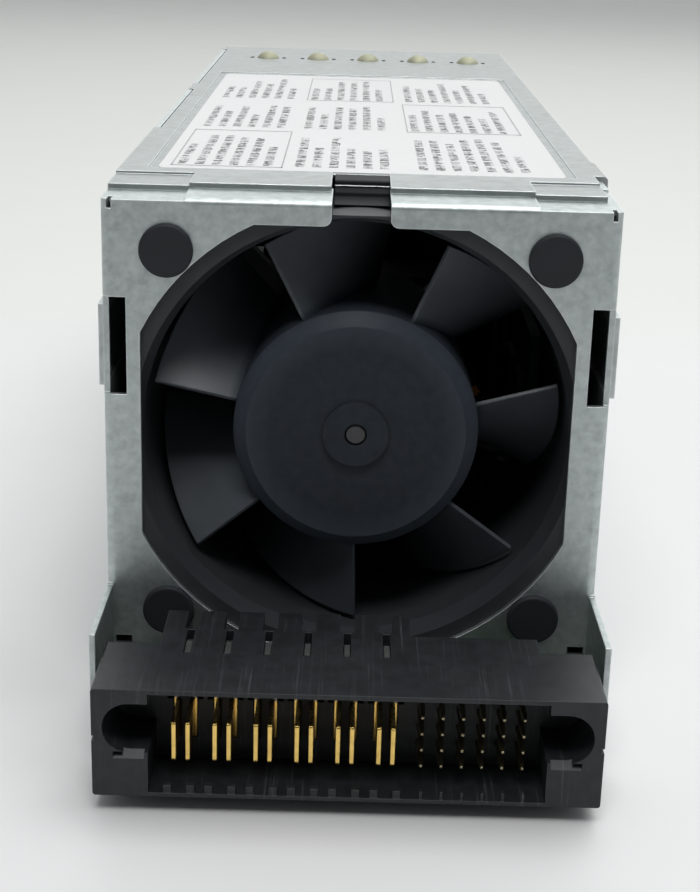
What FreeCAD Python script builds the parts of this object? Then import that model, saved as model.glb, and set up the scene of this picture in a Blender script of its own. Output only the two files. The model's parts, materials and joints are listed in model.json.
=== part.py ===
import FreeCAD, Part
import Sketcher
import os
import re
from math import cos, radians, sin

from FreeCAD import Placement, Rotation, Vector

# A hot swap server power supply: a folded sheet-metal tray with a flat cover, a
# 60 mm fan and a right-angle connector at the plug-in end, and a mains inlet,
# pull handle and sprung release lever at the far end.
#
# Frame: X across, Y from the plug-in end (-Y) to the handle end (+Y), Z up.
# The origin is the centre of the tray's underside. Millimetres throughout.

SIZES = {
    # sheet-metal body
    "body_length": 206, "half_width": 33.4, "body_height": 72.6, "sheet": 0.8,
    "bend": 1.2, "inner_bend": 0.4, "lip_width": 3, "corner_drop": 0.4, "corner_start": 22.7,
    # fan-end face
    "fan_height": 40, "face_opening": 31.75, "opening_side": 28.5, "opening_top": 28.6,
    "flange_bottom": 8.2, "slot_left": 3.85, "slot_right": 3.7, "slot_corner": 1.1, "front_lip": 10,
    "wing_reach": 16.4, "wing_top": 18.4, "relief_low": 9.7, "relief_high": 10.9,
    "relief_inner": 30.1, "relief_outer": 32.3,
    "notch_low": 45.6, "notch_high": 58.7, "notch_inner": 30.3,
    "rib_low": 46.5, "rib_high": 57.5, "rib_length": 26, "rib_proud": 0.65,
    # cover
    "cover_setback": 7.4, "cover_notch": 19, "cover_notch_left": 4.07, "cover_notch_right": 3.72,
    "corner_length": 8, "edge_inset": 1.2, "edge_inset_end": 21.6, "edge_tab_end": 34,
    "edge_tab_drop": 4, "recess_half": 29.5, "recess_end": 147, "recess_depth": 0.3,
    "hem_edge": 32.2, "hem_one_start": 59, "hem_one_end": 115, "hem_two_start": 124,
    "hem_two_end": 200, "hem_gap": 0.4, "hem_low": 0.2,
    "cover_tab_half": 6, "cover_tab_drop": 11.8, "cover_tab_front": -30, "cover_tab_rear": 68,
    "cover_tab_inner": 31.7, "cover_tab_outer": 32.5, "cover_screw_height": 65,
    "label_half": 28.3, "label_start": 20, "label_end": 145, "label_thick": 0.1,
    "button_first": -21.5, "button_pitch": 11.375, "button_station": 180,
    "button_radius": 2.65, "button_proud": 0.35, "button_stem": 1.5, "pierce_offset": 3.55,
    "pierce_radius": 0.5,
    # screws
    "cover_screw_long": 6, "screw_shank": 1.45, "screw_hole": 1.5, "screw_head": 2.7, "screw_head_high": 1.8,
    # fan
    "fan_half": 30, "fan_depth": 38, "fan_plate": 4, "fan_shell": 29.9, "fan_bore": 28.7,
    "fan_mouth": 29.7, "mouth_depth": 3, "fan_screw_offset": 25, "fan_screw_hole": 2.2,
    "fan_base_radius": 15.5, "fan_base_thick": 3, "strut_width": 3.2,
    "tube_outer": 5.2, "tube_bore": 4, "tube_front": 7.2, "bearing_long": 4,
    "shaft_radius": 1.5, "running_gap": 0.03, "hub_setback": 3, "hub_radius": 16.6,
    "hub_face": 14.8, "hub_inner": 14.2, "hub_wall": 2, "hub_long": 28.5, "boss_radius": 4.5,
    "boss_proud": 0.6, "blade_tip": 27.9, "blade_thick": 1.1, "blade_count": 7,
    "magnet_inner": 12.4, "magnet_front": 6, "magnet_back": 24, "stator_radius": 11.6,
    "stator_front": 8, "stator_back": 20, "fan_board_thick": 1.2, "fan_board_radius": 13.5,
    "grommet_radius": 3.5, "grommet_proud": 0.8, "grommet_stem": 2.1, "grommet_tail": 2.8,
    "clip_half": 3.5, "clip_rise": 1, "clip_bar": 1.3, "clip_bar_top": 2.4,
    "clip_block_start": 13.3, "clip_block_top": 2,
    # connector
    "conn_front": 28, "conn_back": 14.5, "conn_half": 31.5, "conn_low": 2.1, "conn_high": 16.6,
    "cavity_half": 24.6, "cavity_low": 2.6, "cavity_high": 16, "cavity_depth": 9.5,
    "pocket_reach": 26.9, "pocket_radius": 3.3, "pocket_height": 11.4,
    "rib_wide": 0.95, "rib_tall": 1, "rib_deep": 0.8, "rib_offset": 1.1, "thin_rib": 0.35,
    "bevel_drop": 0.95, "bevel_deep": 1.2, "bevel_inner": 0.4, "bevel_outer": 2, "nick_height": 9.6, "nick_deep": 0.35, "nick_tall": 0.7,
    "plate_front": 18.3, "slot_spare": 0.8, "slot_sink": 2.5,
    "bridge_front": 14.3, "bridge_back": 12.6, "bridge_thick": 0.8, "tab_half": 0.4,
    "tab_front": 16.9, "tab_rise": 1.1,
    "plate_shift": 0.33,
    "roof_thick": 1.4, "roof_half": 24.5, "power_roof_end": 4, "power_roof_right": 7.8,
    "signal_roof_end": 10.4, "cheek": 1.2, "gap_width": 1.9, "gap_front": 9.6,
    "slot_width": 1, "slot_back": 10, "slot_front": 17, "contact_tip": 25,
    "pair_first": -20.85, "pair_pitch": 5.12, "pair_spacing": 1.75, "blade_sheet": 0.55,
    "contact_low": 5.4, "contact_high": 10.8, "riser_top": 15.1, "riser_back": 9.4,
    "tail_width": 1.2, "tail_first": 13.8, "tail_pitch": 1.6, "tail_low": 2.4,
    "pin_first": 9.19, "pin_pitch": 2.54, "pin_top": 12.3, "pin_row": 2.23, "pin_size": 0.64,
    "pin_tail_first": 13.7, "pin_tail_pitch": 1, "pin_taper": 1.2, "fit": 0.05,
    # boards
    "board_low": 3.2, "board_thick": 1.6, "board_half": 31, "board_front": 14.4,
    "board_end": 92, "standoff_radius": 2.5, "standoff_side": 27.5, "film": 0.4,
    "can_edge": 1.4,
    # far end
    "panel_gap": 0.1, "rear_flange": 27.2, "panel_screw_side": 30.2, "panel_screw_low": 6,
    "panel_screw_high": 66, "panel_screw_head": 2.6, "panel_screw_shank": 1.25,
    "hole_radius": 2.3, "hole_pitch": 5.2,
    "inlet_side": -12, "inlet_height": 22, "inlet_bezel_half": 15.35, "inlet_bezel_tall": 11.95,
    "inlet_body_half": 13.6, "inlet_body_tall": 10.1, "inlet_bezel_thick": 2, "inlet_depth": 19,
    "socket_half": 12, "socket_tall": 8.25, "socket_corner": 4.5, "socket_depth": 17,
    "mains_pin_wide": 2, "mains_pin_tall": 4, "mains_pin_side": 7, "mains_pin_rise": 2,
    "mains_pin_setback": 4, "mains_tab": 6,
    "light_first": -22, "light_pitch": 6, "light_height": 38.6, "light_radius": 1.5,
    "light_length": 9, "light_proud": 0.8,
    "handle_side": 22, "handle_half": 4.5, "handle_low": 8, "handle_high": 68,
    "handle_reach": 30, "handle_bar": 7, "handle_outer_bend": 10, "handle_inner_bend": 5,
    "handle_edge": 1.5, "handle_screw_long": 9,
    # release lever
    "lever_pin_x": -28.3, "lever_pin_y": 80, "lever_pin_radius": 1.5, "lever_low": 47,
    "lever_high": 57, "boss_outer": 3, "arm_outer": 30.9, "arm_inner": 28.4,
    "lever_reach": 16, "hook_reach": 35.2, "hook_start": 87, "hook_root": 88.4,
    "hook_end": 96, "hook_low": 48,
    "hook_high": 56, "pad_start": 108, "pad_low": 44, "pad_high": 60, "pad_outer": 31.5,
    "bracket_thick": 0.8, "bracket_ear_low": 43, "bracket_ear_high": 61,
    "bracket_reach": 26, "bracket_front": 76, "bracket_back": 85,
    "spring_wire": 0.35, "spring_radius": 2.6,
}

doc = FreeCAD.newDocument("hot_swap_server_power_supply")
table = doc.addObject("Spreadsheet::Sheet", "dims")
for row, (word, value) in enumerate(SIZES.items(), start=1):
    table.set(f"A{row}", word)
    table.set(f"B{row}", str(value))
    table.setAlias(f"B{row}", word)
doc.recompute()

NODES = []


def on_sheet(formula):
    """Point every size word of a formula at its cell in the sheet."""
    def point(match):
        word = match.group(0)
        return f"dims.{word}" if word in SIZES else word
    return re.sub(r"[a-z][a-z_]*", point, str(formula))


def value_of(formula):
    """The number that a formula of size words stands for."""
    return float(table.evalExpression(str(formula)))


def bind(item, field, formula):
    item.setExpression(field, on_sheet(formula))


def place(item, x, y, z, turn=None):
    if turn is not None:
        item.Placement = Placement(Vector(), turn)
    for axis, formula in zip("xyz", (x, y, z)):
        bind(item, f"Placement.Base.{axis}", formula)
    return item


def block(x, y, z):
    """A box between two formulas on each axis."""
    item = doc.addObject("Part::Box", "block")
    for field, (low, high) in zip(("Length", "Width", "Height"), (x, y, z)):
        bind(item, field, f"({high}) - ({low})")
    return place(item, x[0], y[0], z[0])


ALONG = {
    "X": Rotation(Vector(0, 1, 0), 90),
    "Y": Rotation(Vector(1, 0, 0), -90),
    "Z": Rotation(),
}


def rod(radius, x, y, z, length, along="Z"):
    item = doc.addObject("Part::Cylinder", "rod")
    bind(item, "Radius", radius)
    bind(item, "Height", length)
    return place(item, x, y, z, ALONG[along])


def cone(first, last, x, y, z, length, along="Z"):
    item = doc.addObject("Part::Cone", "cone")
    bind(item, "Radius1", first)
    bind(item, "Radius2", last)
    bind(item, "Height", length)
    return place(item, x, y, z, ALONG[along])


def ring(radius, wire, x, y, z, along="Z"):
    item = doc.addObject("Part::Torus", "ring")
    bind(item, "Radius1", radius)
    bind(item, "Radius2", wire)
    return place(item, x, y, z, ALONG[along])


def hexagon(radius, x, y, z, length, along="Z"):
    item = doc.addObject("Part::Prism", "hexagon")
    item.Polygon = 6
    bind(item, "Circumradius", radius)
    bind(item, "Height", length)
    return place(item, x, y, z, ALONG[along])


def join(*items):
    if len(items) == 1:
        return items[0]
    item = doc.addObject("Part::MultiFuse", "join")
    item.Shapes = list(items)
    item.Refine = True
    return item


def cut(base, *tools):
    item = doc.addObject("Part::Cut", "cut")
    item.Base = base
    item.Tool = join(*tools)
    return item


def overlap(base, other):
    item = doc.addObject("Part::Common", "overlap")
    item.Base = base
    item.Tool = other
    return item


def gather(items):
    item = doc.addObject("Part::Compound", "gather")
    item.Links = list(items)
    return item


def rounded(base, radius, chosen):
    """Fillet the edges of base for which chosen(edge) is true."""
    doc.recompute()
    item = doc.addObject("Part::Fillet", "rounded")
    item.Base = base
    edges = enumerate(base.Shape.Edges, start=1)
    size = SIZES[radius]
    item.Edges = [(number, size, size) for number, edge in edges if chosen(edge)]
    return item


def runs_along(edge, axis):
    """True for a straight edge along X, Y or Z."""
    if len(edge.Vertexes) != 2 or not isinstance(edge.Curve, Part.Line):
        return False
    step = edge.Vertexes[1].Point - edge.Vertexes[0].Point
    return abs(abs(getattr(step, axis.lower())) - step.Length) < 1e-6


def middle(edge):
    return edge.CenterOfMass


def origin_plane(body, role):
    return next(part for part in body.Origin.OriginFeatures if part.Role == role)


def draw(body, role, points, offset):
    """A closed outline of straight lines on one of the body's own planes; every
    corner's two coordinates are bound to the sheet."""
    sketch = body.newObject("Sketcher::SketchObject", "outline")
    sketch.AttachmentSupport = [(origin_plane(body, role), "")]
    sketch.MapMode = "FlatFace"
    bind(sketch, "AttachmentOffset.Base.z", offset)
    here = [tuple(value_of(formula) for formula in point) for point in points]
    count = len(points)
    for index in range(count):
        start = Vector(*here[index], 0)
        end = Vector(*here[(index + 1) % count], 0)
        sketch.addGeometry(Part.LineSegment(start, end), False)
    for index in range(count):
        meet = Sketcher.Constraint("Coincident", index, 2, (index + 1) % count, 1)
        sketch.addConstraint(meet)
    for index, point in enumerate(points):
        for kind, formula, number in zip(("DistanceX", "DistanceY"), point, here[index]):
            rule = sketch.addConstraint(Sketcher.Constraint(kind, -1, 1, index, 1, number))
            sketch.renameConstraint(rule, f"{kind}{index}")
            bind(sketch, f"Constraints.{kind}{index}", formula)
    return sketch


# which way each plane's pad grows, and how its offset is measured
GROWS = {"XY_Plane": 1, "YZ_Plane": 1, "XZ_Plane": -1}


def prism(role, points, low, high):
    """Pad an outline between two stations along its plane's normal axis."""
    body = doc.addObject("PartDesign::Body", "prism")
    offset = low if GROWS[role] > 0 else f"-({high})"
    sketch = draw(body, role, points, offset)
    pad = body.newObject("PartDesign::Pad", "pad")
    pad.Profile = sketch
    bind(pad, "Length", f"({high}) - ({low})")
    sketch.Visibility = False
    return body


def node(name, item):
    item.Label = name
    NODES.append(item)
    return item


# Stations along Y, each a formula of the sheet's words
FACE = "-body_length/2"
REAR = "body_length/2"
DECK = "body_height - sheet"
FAN_FRONT = f"{FACE} + sheet"
FAN_REAR = f"{FAN_FRONT} + fan_depth"
HUB_FRONT = f"{FACE} + hub_setback"
BOARD_TOP = "board_low + board_thick"
CONN_WALL = f"{FACE} - conn_front + cavity_depth"
CONN_BACK = f"{FACE} - conn_back"
SIDES = (-1, 1)


def span(side, inner, outer):
    """The X range from inner to outer on one side of the middle."""
    if side > 0:
        return inner, outer
    return f"-({outer})", f"-({inner})"


# ---------------------------------------------------------------- tray
COVER_TABS = ("cover_tab_front", "cover_tab_rear")


def side_wall(side):
    """One wall with its outward rib and the lip under the cover."""
    outer = "half_width"
    inner = "half_width - sheet"
    wall = block(span(side, inner, outer), (FACE, f"{REAR} - sheet"), ("0", DECK))
    low_corner = block(
        span(side, "half_width - 2", "half_width + 2"),
        (f"{FACE} - 1", f"{FACE} + cover_setback + corner_length"),
        (f"{DECK} - corner_drop", "body_height"))
    rib = block(span(side, inner, "half_width + rib_proud"),
                (f"{FACE} + 1", f"{FACE} + 1 + rib_length"), ("rib_low", "rib_high"))
    hollow = block(
        span(side, "half_width - 2", "half_width + rib_proud - sheet"),
        (f"{FACE} + 1 + sheet", f"{FACE} + 1 + rib_length - sheet"),
        ("rib_low + sheet", "rib_high - sheet"))
    lip = block(span(side, "half_width - lip_width", outer),
                (f"{FACE} + cover_setback + corner_length + 1", f"{REAR} - 4"),
                (f"{DECK} - sheet", DECK))
    openings = [low_corner, hollow]
    for tab in COVER_TABS:
        openings.append(block(
            span(side, "half_width - lip_width - 1", "half_width - sheet"),
            (f"{tab} - cover_tab_half - 1", f"{tab} + cover_tab_half + 1"),
            (f"{DECK} - 2*sheet", "body_height")))
        start = span(side, "half_width - 2", "half_width + 1")[0]
        openings.append(rod("screw_hole", start, tab, "cover_screw_height", "3", "X"))
        openings.append(countersink(side, tab))
    return cut(join(wall, rib, lip), *openings)


def countersink(side, station):
    """The cone of a flat screw head in one wall."""
    if side > 0:
        return cone("screw_hole", "screw_head", "half_width - sheet", station,
                    "cover_screw_height", "sheet", "X")
    return cone("screw_head", "screw_hole", "-half_width", station,
                "cover_screw_height", "sheet", "X")


def fan_face(side):
    """One half of the flange round the fan, its bent-back lip and its notches."""
    slot_edge = "slot_right" if side > 0 else "slot_left"
    plate = block(span(side, slot_edge, "half_width"), (FACE, f"{FACE} + sheet"),
                  ("flange_bottom", DECK))
    lip = block(span(side, slot_edge, "corner_start"), (FACE, f"{FACE} + front_lip"),
                (f"{DECK} - sheet", DECK))
    corner_lip = block(span(side, "corner_start - 1", "half_width - sheet"),
                       (FACE, f"{FACE} + front_lip"),
                       (f"{DECK} - sheet - corner_drop", f"{DECK} - corner_drop"))
    corner = block(span(side, "corner_start", "half_width + 1"),
                   (f"{FACE} - 1", f"{FACE} + front_lip + 1"),
                   (f"{DECK} - corner_drop", "body_height"))
    relief = block(span(side, "relief_inner", "relief_outer"),
                   (f"{FACE} - 1", f"{FACE} + 2"), ("relief_low", "relief_high"))
    slit = block(span(side, "half_width - sheet - 0.6", "half_width - sheet"),
                 (f"{FACE} - 1", f"{FACE} + 2.5"), (f"{DECK} - 2*sheet", "body_height"))
    stud = rod("grommet_stem + fit", f"{side}*fan_screw_offset", f"{FACE} - 1",
               "fan_height + fan_screw_offset", "3", "Y")
    low_stud = rod("grommet_stem + fit", f"{side}*fan_screw_offset", f"{FACE} - 1",
                   "fan_height - fan_screw_offset", "3", "Y")
    return cut(join(plate, lip, corner_lip), corner, relief, slit, stud, low_stud)


def fan_opening():
    """The round opening with straight sides and a straight top."""
    circle = rod("face_opening", "0", f"{FACE} - 1", "fan_height", "3", "Y")
    limits = block(("-opening_side", "opening_side"), (f"{FACE} - 1", f"{FACE} + 2"),
                   ("0", "fan_height + opening_top"))
    return overlap(circle, limits)


def upright_bend(side):
    """What a bend takes off the corner between one wall and the fan face."""
    corner = block(span(side, "half_width - bend", "half_width + 1"),
                   (f"{FACE} - 1", f"{FACE} + bend"), ("wing_top + 0.3", "body_height"))
    core = rod("bend", f"{side}*(half_width - bend)", f"{FACE} + bend", "0", "body_height + 1")
    return cut(corner, core)


def floor_bend(side):
    """What a bend takes off the corner between one wall and the floor."""
    corner = block(span(side, "half_width - bend", "half_width + 1"),
                   (f"{FACE} - wing_reach - 1", f"{REAR} + 1"), ("-1", "bend"))
    core = rod("bend", f"{side}*(half_width - bend)", f"{FACE} - wing_reach - 2", "bend",
               "body_length + wing_reach + 4", "Y")
    return cut(corner, core)


def slot_corner(side):
    """What rounds off the flange's lower corner beside the middle slot."""
    edge = "slot_right" if side > 0 else "slot_left"
    low = "fan_height + opening_top"
    corner = block(span(side, f"{edge} - 1", f"{edge} + slot_corner"), (f"{FACE} - 1", f"{FACE} + 2"),
                   (f"{low} - 1", f"{low} + slot_corner"))
    core = rod("slot_corner", f"{side}*({edge} + slot_corner)", f"{FACE} - 2",
               f"{low} + slot_corner", "5", "Y")
    return cut(corner, core)


def lip_bend():
    """What a bend takes off the edge between the fan face and its top lip."""
    corner = block(("-corner_start", "corner_start"), (f"{FACE} - 1", f"{FACE} + sheet"),
                   (f"{DECK} - sheet", "body_height + 1"))
    core = rod("sheet", "-half_width", f"{FACE} + sheet", f"{DECK} - sheet", "2*half_width", "X")
    return cut(corner, core)


def build_tray():
    floor = block(("-half_width", "half_width"), (FACE, f"{REAR} - sheet"), ("0", "sheet"))
    shell = join(floor, *[side_wall(side) for side in SIDES],
                 *[fan_face(side) for side in SIDES])
    additions = []
    openings = [fan_opening(), lip_bend(), *[slot_corner(side) for side in SIDES]]
    for side in SIDES:
        additions.append(block(span(side, "half_width - sheet", "half_width"),
                               (f"{FACE} - wing_reach", f"{FACE} + bend"), ("0", "wing_top")))
        additions.append(block(span(side, "rear_flange", "half_width"),
                               (f"{REAR} - 2*sheet", f"{REAR} - sheet"),
                               ("sheet", f"{DECK} - 2*sheet")))
        openings += [upright_bend(side), floor_bend(side)]
        openings.append(block(span(side, "notch_inner", "half_width + 2"),
                              (f"{FACE} - 1", f"{FACE} + 1"), ("notch_low", "notch_high")))
        for height in ("panel_screw_low", "panel_screw_high"):
            openings.append(rod("panel_screw_shank", f"{side}*panel_screw_side",
                                f"{REAR} - 3", height, "4", "Y"))
    additions.append(block(("-half_width", "half_width"),
                           (f"{FACE} - wing_reach", f"{FACE} + bend"), ("0", "sheet")))
    for start, end in (("hem_one_start", "hem_one_end"), ("hem_two_start", "hem_two_end")):
        additions.append(block(
            ("-half_width", "-half_width + sheet"),
            (f"{FACE} + {start} + hem_gap", f"{FACE} + {end} - hem_gap"),
            (f"{DECK} - 1", "body_height - hem_low")))
    hook_slot = block(("-half_width - 1", "-half_width + 2"), ("hook_start - 1", "hook_end + 1.2"),
                      ("hook_low - 0.6", "hook_high + 0.6"))
    lever_gap = block(("-half_width + sheet", "0"), (f"{REAR} - 3", f"{REAR} + 1"),
                      ("pad_low", "pad_high"))
    openings += [hook_slot, lever_gap]
    return cut(join(shell, *additions), *openings)


node("chassis_tray", build_tray())


# ---------------------------------------------------------------- cover
def build_cover():
    corner_back = f"{FACE} + cover_setback + corner_length"
    sheets = [
        block(("-corner_start", "corner_start"), (f"{FACE} + cover_setback", REAR),
              (DECK, "body_height")),
        block(("-half_width", "half_width"), (corner_back, REAR), (DECK, "body_height")),
    ]
    openings = []
    for side in SIDES:
        sheets.append(block(
            span(side, "corner_start - 0.6", "half_width"),
            (f"{FACE} + cover_setback", f"{corner_back} + 0.6"),
            (f"{DECK} - corner_drop", "body_height - corner_drop")))
        for tab in COVER_TABS:
            sheets.append(block(
                span(side, "cover_tab_inner", "cover_tab_outer"),
                (f"{tab} - cover_tab_half", f"{tab} + cover_tab_half"),
                (f"{DECK} - cover_tab_drop", "body_height")))
            start = span(side, "cover_tab_inner - 1", "cover_tab_outer + 1")[0]
            openings.append(rod("screw_hole", start, tab, "cover_screw_height", "3", "X"))
    edge_tab = block(("half_width - 1", "half_width + sheet"),
                     (f"{FACE} + edge_inset_end", f"{FACE} + edge_tab_end"),
                     ("body_height - edge_tab_drop", "body_height"))
    tab_inside = block(("half_width - 2", "half_width"),
                       (f"{FACE} + edge_inset_end - 1", f"{FACE} + edge_tab_end + 1"),
                       ("body_height - edge_tab_drop - 1", DECK))
    wall = value_of("half_width")
    folded = rounded(edge_tab, "sheet", lambda edge: runs_along(edge, "Y")
                     and middle(edge).z > value_of(DECK) and middle(edge).x > wall)
    sheets.append(cut(folded, tab_inside))
    openings += [
        block(("half_width - edge_inset", "half_width + 2"),
              (f"{FACE}", f"{FACE} + edge_inset_end"), (f"{DECK} - 1", "body_height + 1")),
        block(("-cover_notch_left", "cover_notch_right"),
              (FACE, f"{FACE} + cover_notch"), (f"{DECK} - 1", "body_height + 1")),
        block(("-recess_half", "recess_half"),
              (f"{FACE} + cover_notch", f"{FACE} + recess_end"),
              ("body_height - recess_depth", "body_height + 1")),
    ]
    for start, end in (("hem_one_start", "hem_one_end"), ("hem_two_start", "hem_two_end")):
        openings.append(block(("-half_width - 1", "-hem_edge"),
                              (f"{FACE} + {start}", f"{FACE} + {end}"),
                              (f"{DECK} - 0.5", "body_height + 1")))
    for number in range(5):
        centre = f"button_first + {number}*button_pitch"
        station = f"{FACE} + button_station"
        openings.append(rod("button_stem + fit", centre, station, f"{DECK} - 1", "3"))
        for side in SIDES:
            openings.append(rod("pierce_radius", f"{centre} + {side}*pierce_offset", station,
                                f"{DECK} - 1", "3"))
    return cut(join(*sheets), *openings)


node("top_cover", build_cover())


def build_label():
    film = block(("-label_half", "label_half"), (f"{FACE} + label_start", f"{FACE} + label_end"),
                 ("body_height - recess_depth", "body_height - recess_depth + label_thick"))
    return rounded(film, "screw_hole", lambda edge: runs_along(edge, "Z"))


node("rating_label", build_label())


def build_buttons():
    buttons = []
    for number in range(5):
        centre = f"button_first + {number}*button_pitch"
        station = f"{FACE} + button_station"
        head = rod("button_radius", centre, station, "body_height", "button_proud")
        top = value_of("body_height + button_proud")
        crown = rounded(head, "label_thick", lambda edge: middle(edge).z > top - 1e-3)
        stem = rod("button_stem", centre, station, f"{DECK} - inner_bend", "sheet + inner_bend")
        buttons.append(join(crown, stem))
    return gather(buttons)


node("ground_buttons", build_buttons())


def build_cover_screws():
    screws = []
    for side in SIDES:
        for tab in COVER_TABS:
            start = span(side, "half_width - cover_screw_long", "half_width - sheet")[0]
            shank = rod("screw_shank", start, tab, "cover_screw_height",
                        "cover_screw_long - sheet", "X")
            screws.append(join(shank, flat_head(side, tab)))
    return gather(screws)


def flat_head(side, station):
    if side > 0:
        return cone("screw_shank", "screw_head - fit", "half_width - sheet", station,
                    "cover_screw_height", "sheet", "X")
    return cone("screw_head - fit", "screw_shank", "-half_width", station,
                "cover_screw_height", "sheet", "X")


node("cover_screws", build_cover_screws())


# ---------------------------------------------------------------- fan
FAN_CORNERS = [(x, z) for x in SIDES for z in SIDES]


def build_fan_frame():
    """Square end plates with a round shell between them."""
    solids = []
    for front in (FAN_FRONT, f"{FAN_REAR} - fan_plate"):
        plate = block(("-fan_half", "fan_half"), (front, f"{front} + fan_plate"),
                      ("fan_height - fan_half", "fan_height + fan_half"))
        solids.append(rounded(plate, "cavity_low", lambda edge: runs_along(edge, "Y")))
    solids.append(rod("fan_shell", "0", FAN_FRONT, "fan_height", "fan_depth", "Y"))
    bore = rod("fan_bore", "0", f"{FAN_FRONT} - 1", "fan_height", "fan_depth + 2", "Y")
    mouth = cone("fan_mouth", "fan_bore", "0", FAN_FRONT, "fan_height", "mouth_depth", "Y")
    holes = [rod("fan_screw_hole", f"{x}*fan_screw_offset", f"{FAN_FRONT} - 1",
                 f"fan_height + {z}*fan_screw_offset", "fan_depth + 2", "Y")
             for x, z in FAN_CORNERS]
    return cut(join(*solids), bore, mouth, *holes)


def build_fan_base():
    """The motor base at the back, its four arms and the bearing tube."""
    base_front = f"{FAN_REAR} - fan_base_thick"
    base = rod("fan_base_radius", "0", base_front, "fan_height", "fan_base_thick", "Y")
    tube_start = f"{HUB_FRONT} + tube_front"
    tube_long = f"{base_front} - ({tube_start}) + 1"
    tube = cut(rod("tube_outer", "0", tube_start, "fan_height", tube_long, "Y"),
               rod("tube_bore", "0", f"{tube_start} - 1", "fan_height", tube_long, "Y"))
    within = rod("fan_bore - fit", "0", f"{base_front} - 1", "fan_height", "fan_base_thick + 2", "Y")
    arms = overlap(join(strut(45), strut(135)), within)
    return join(base, tube, arms)


def strut(angle):
    """A bar right across the bore, through the motor base."""
    item = doc.addObject("Part::Box", "strut")
    bind(item, "Length", "2*fan_bore + 0.6")
    bind(item, "Width", "fan_base_thick")
    bind(item, "Height", "strut_width")
    lean = radians(angle)
    half = "(fan_bore + 0.3)"
    return place(item, f"-{half}*{cos(lean):.6f} + strut_width/2*{sin(lean):.6f}",
                 f"{FAN_REAR} - fan_base_thick",
                 f"fan_height - {half}*{sin(lean):.6f} - strut_width/2*{cos(lean):.6f}",
                 Rotation(Vector(0, 1, 0), -angle))


node("fan_frame", build_fan_frame())
node("fan_base", build_fan_base())


def build_grommets():
    studs = []
    for x, z in FAN_CORNERS:
        across = f"{x}*fan_screw_offset"
        height = f"fan_height + {z}*fan_screw_offset"
        head = rod("grommet_radius", across, f"{FACE} - grommet_proud", height, "grommet_proud", "Y")
        front = value_of(f"{FACE} - grommet_proud")
        head = rounded(head, "inner_bend", lambda edge: middle(edge).y < front + 1e-3)
        stem = rod("grommet_stem", across, f"{FACE} - inner_bend", height,
                   "inner_bend + sheet + fan_plate + 1", "Y")
        tail = cone("grommet_tail", "grommet_stem", across, f"{FAN_FRONT} + fan_plate", height,
                    "2", "Y")
        studs.append(join(head, stem, tail))
    return gather(studs)


node("fan_grommets", build_grommets())


def build_clip():
    """The saddle that fills the notch between the cover and the fan frame."""
    across = ("-clip_half", "clip_half")
    top = "fan_height + fan_half"
    front = f"{FACE} + cover_setback"
    base = block(across, (front, f"{FACE} + cover_notch - 0.3"), (top, f"{top} + clip_rise"))
    bar = block(across, (front, f"{front} + clip_bar"), (top, f"{top} + clip_bar_top"))
    rear = block(across, (f"{FACE} + clip_block_start", f"{FACE} + cover_notch - 0.3"),
                 (top, f"{top} + clip_block_top"))
    return join(base, bar, rear)


node("fan_clip", build_clip())


# The rotor's own axes: Z out of the hub's face, X across, Y up
ROTOR_TURN = Rotation(Vector(1, 0, 0), 90)
BLADE_PHASE = -4.4


def on_rotor(item):
    return place(item, "0", HUB_FRONT, "fan_height", ROTOR_TURN)


def hub_outline():
    """Half the hub's section, radius then depth."""
    return [("0", "-hub_wall"), ("0", "boss_proud"), ("boss_radius", "boss_proud"),
            ("boss_radius", "0"), ("hub_face", "0"), ("hub_radius", "-(hub_radius - hub_face)"),
            ("hub_radius", "-hub_long"), ("hub_inner", "-hub_long"), ("hub_inner", "-hub_wall")]


def blade_section(body, station, reach, lean, camber, front):
    """A thin bowed section of the blade across the plane at one radius: reach is
    half its length, lean its slope and camber its bow; front is its near end."""
    sketch = body.newObject("Sketcher::SketchObject", "section")
    sketch.AttachmentSupport = [(origin_plane(body, "YZ_Plane"), "")]
    sketch.MapMode = "FlatFace"
    bind(sketch, "AttachmentOffset.Base.z", station)
    half = SIZES["blade_thick"] / 2
    tilt = radians(lean)
    along = Vector(-cos(tilt), -sin(tilt), 0)
    across = Vector(-sin(tilt), cos(tilt), 0)
    centre = Vector(0, front - reach * sin(tilt), 0)

    def spot(run, rise):
        return centre + along * run + across * rise

    tips = [spot(-reach, -half / 2), spot(-reach, half / 2), spot(reach, half / 2), spot(reach, -half / 2)]
    over = Part.Arc(tips[1], spot(0, camber + half), tips[2])
    under = Part.Arc(tips[0], spot(0, camber - half), tips[3])
    sketch.addGeometry(Part.LineSegment(tips[0], tips[1]), False)
    sketch.addGeometry(over, False)
    sketch.addGeometry(Part.LineSegment(tips[2], tips[3]), False)
    sketch.addGeometry(under, False)
    sketch.addConstraint(Sketcher.Constraint("Block", 0))
    return sketch


def origin_axis(body, role):
    return next(part for part in body.Origin.OriginFeatures if part.Role == role)


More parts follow.
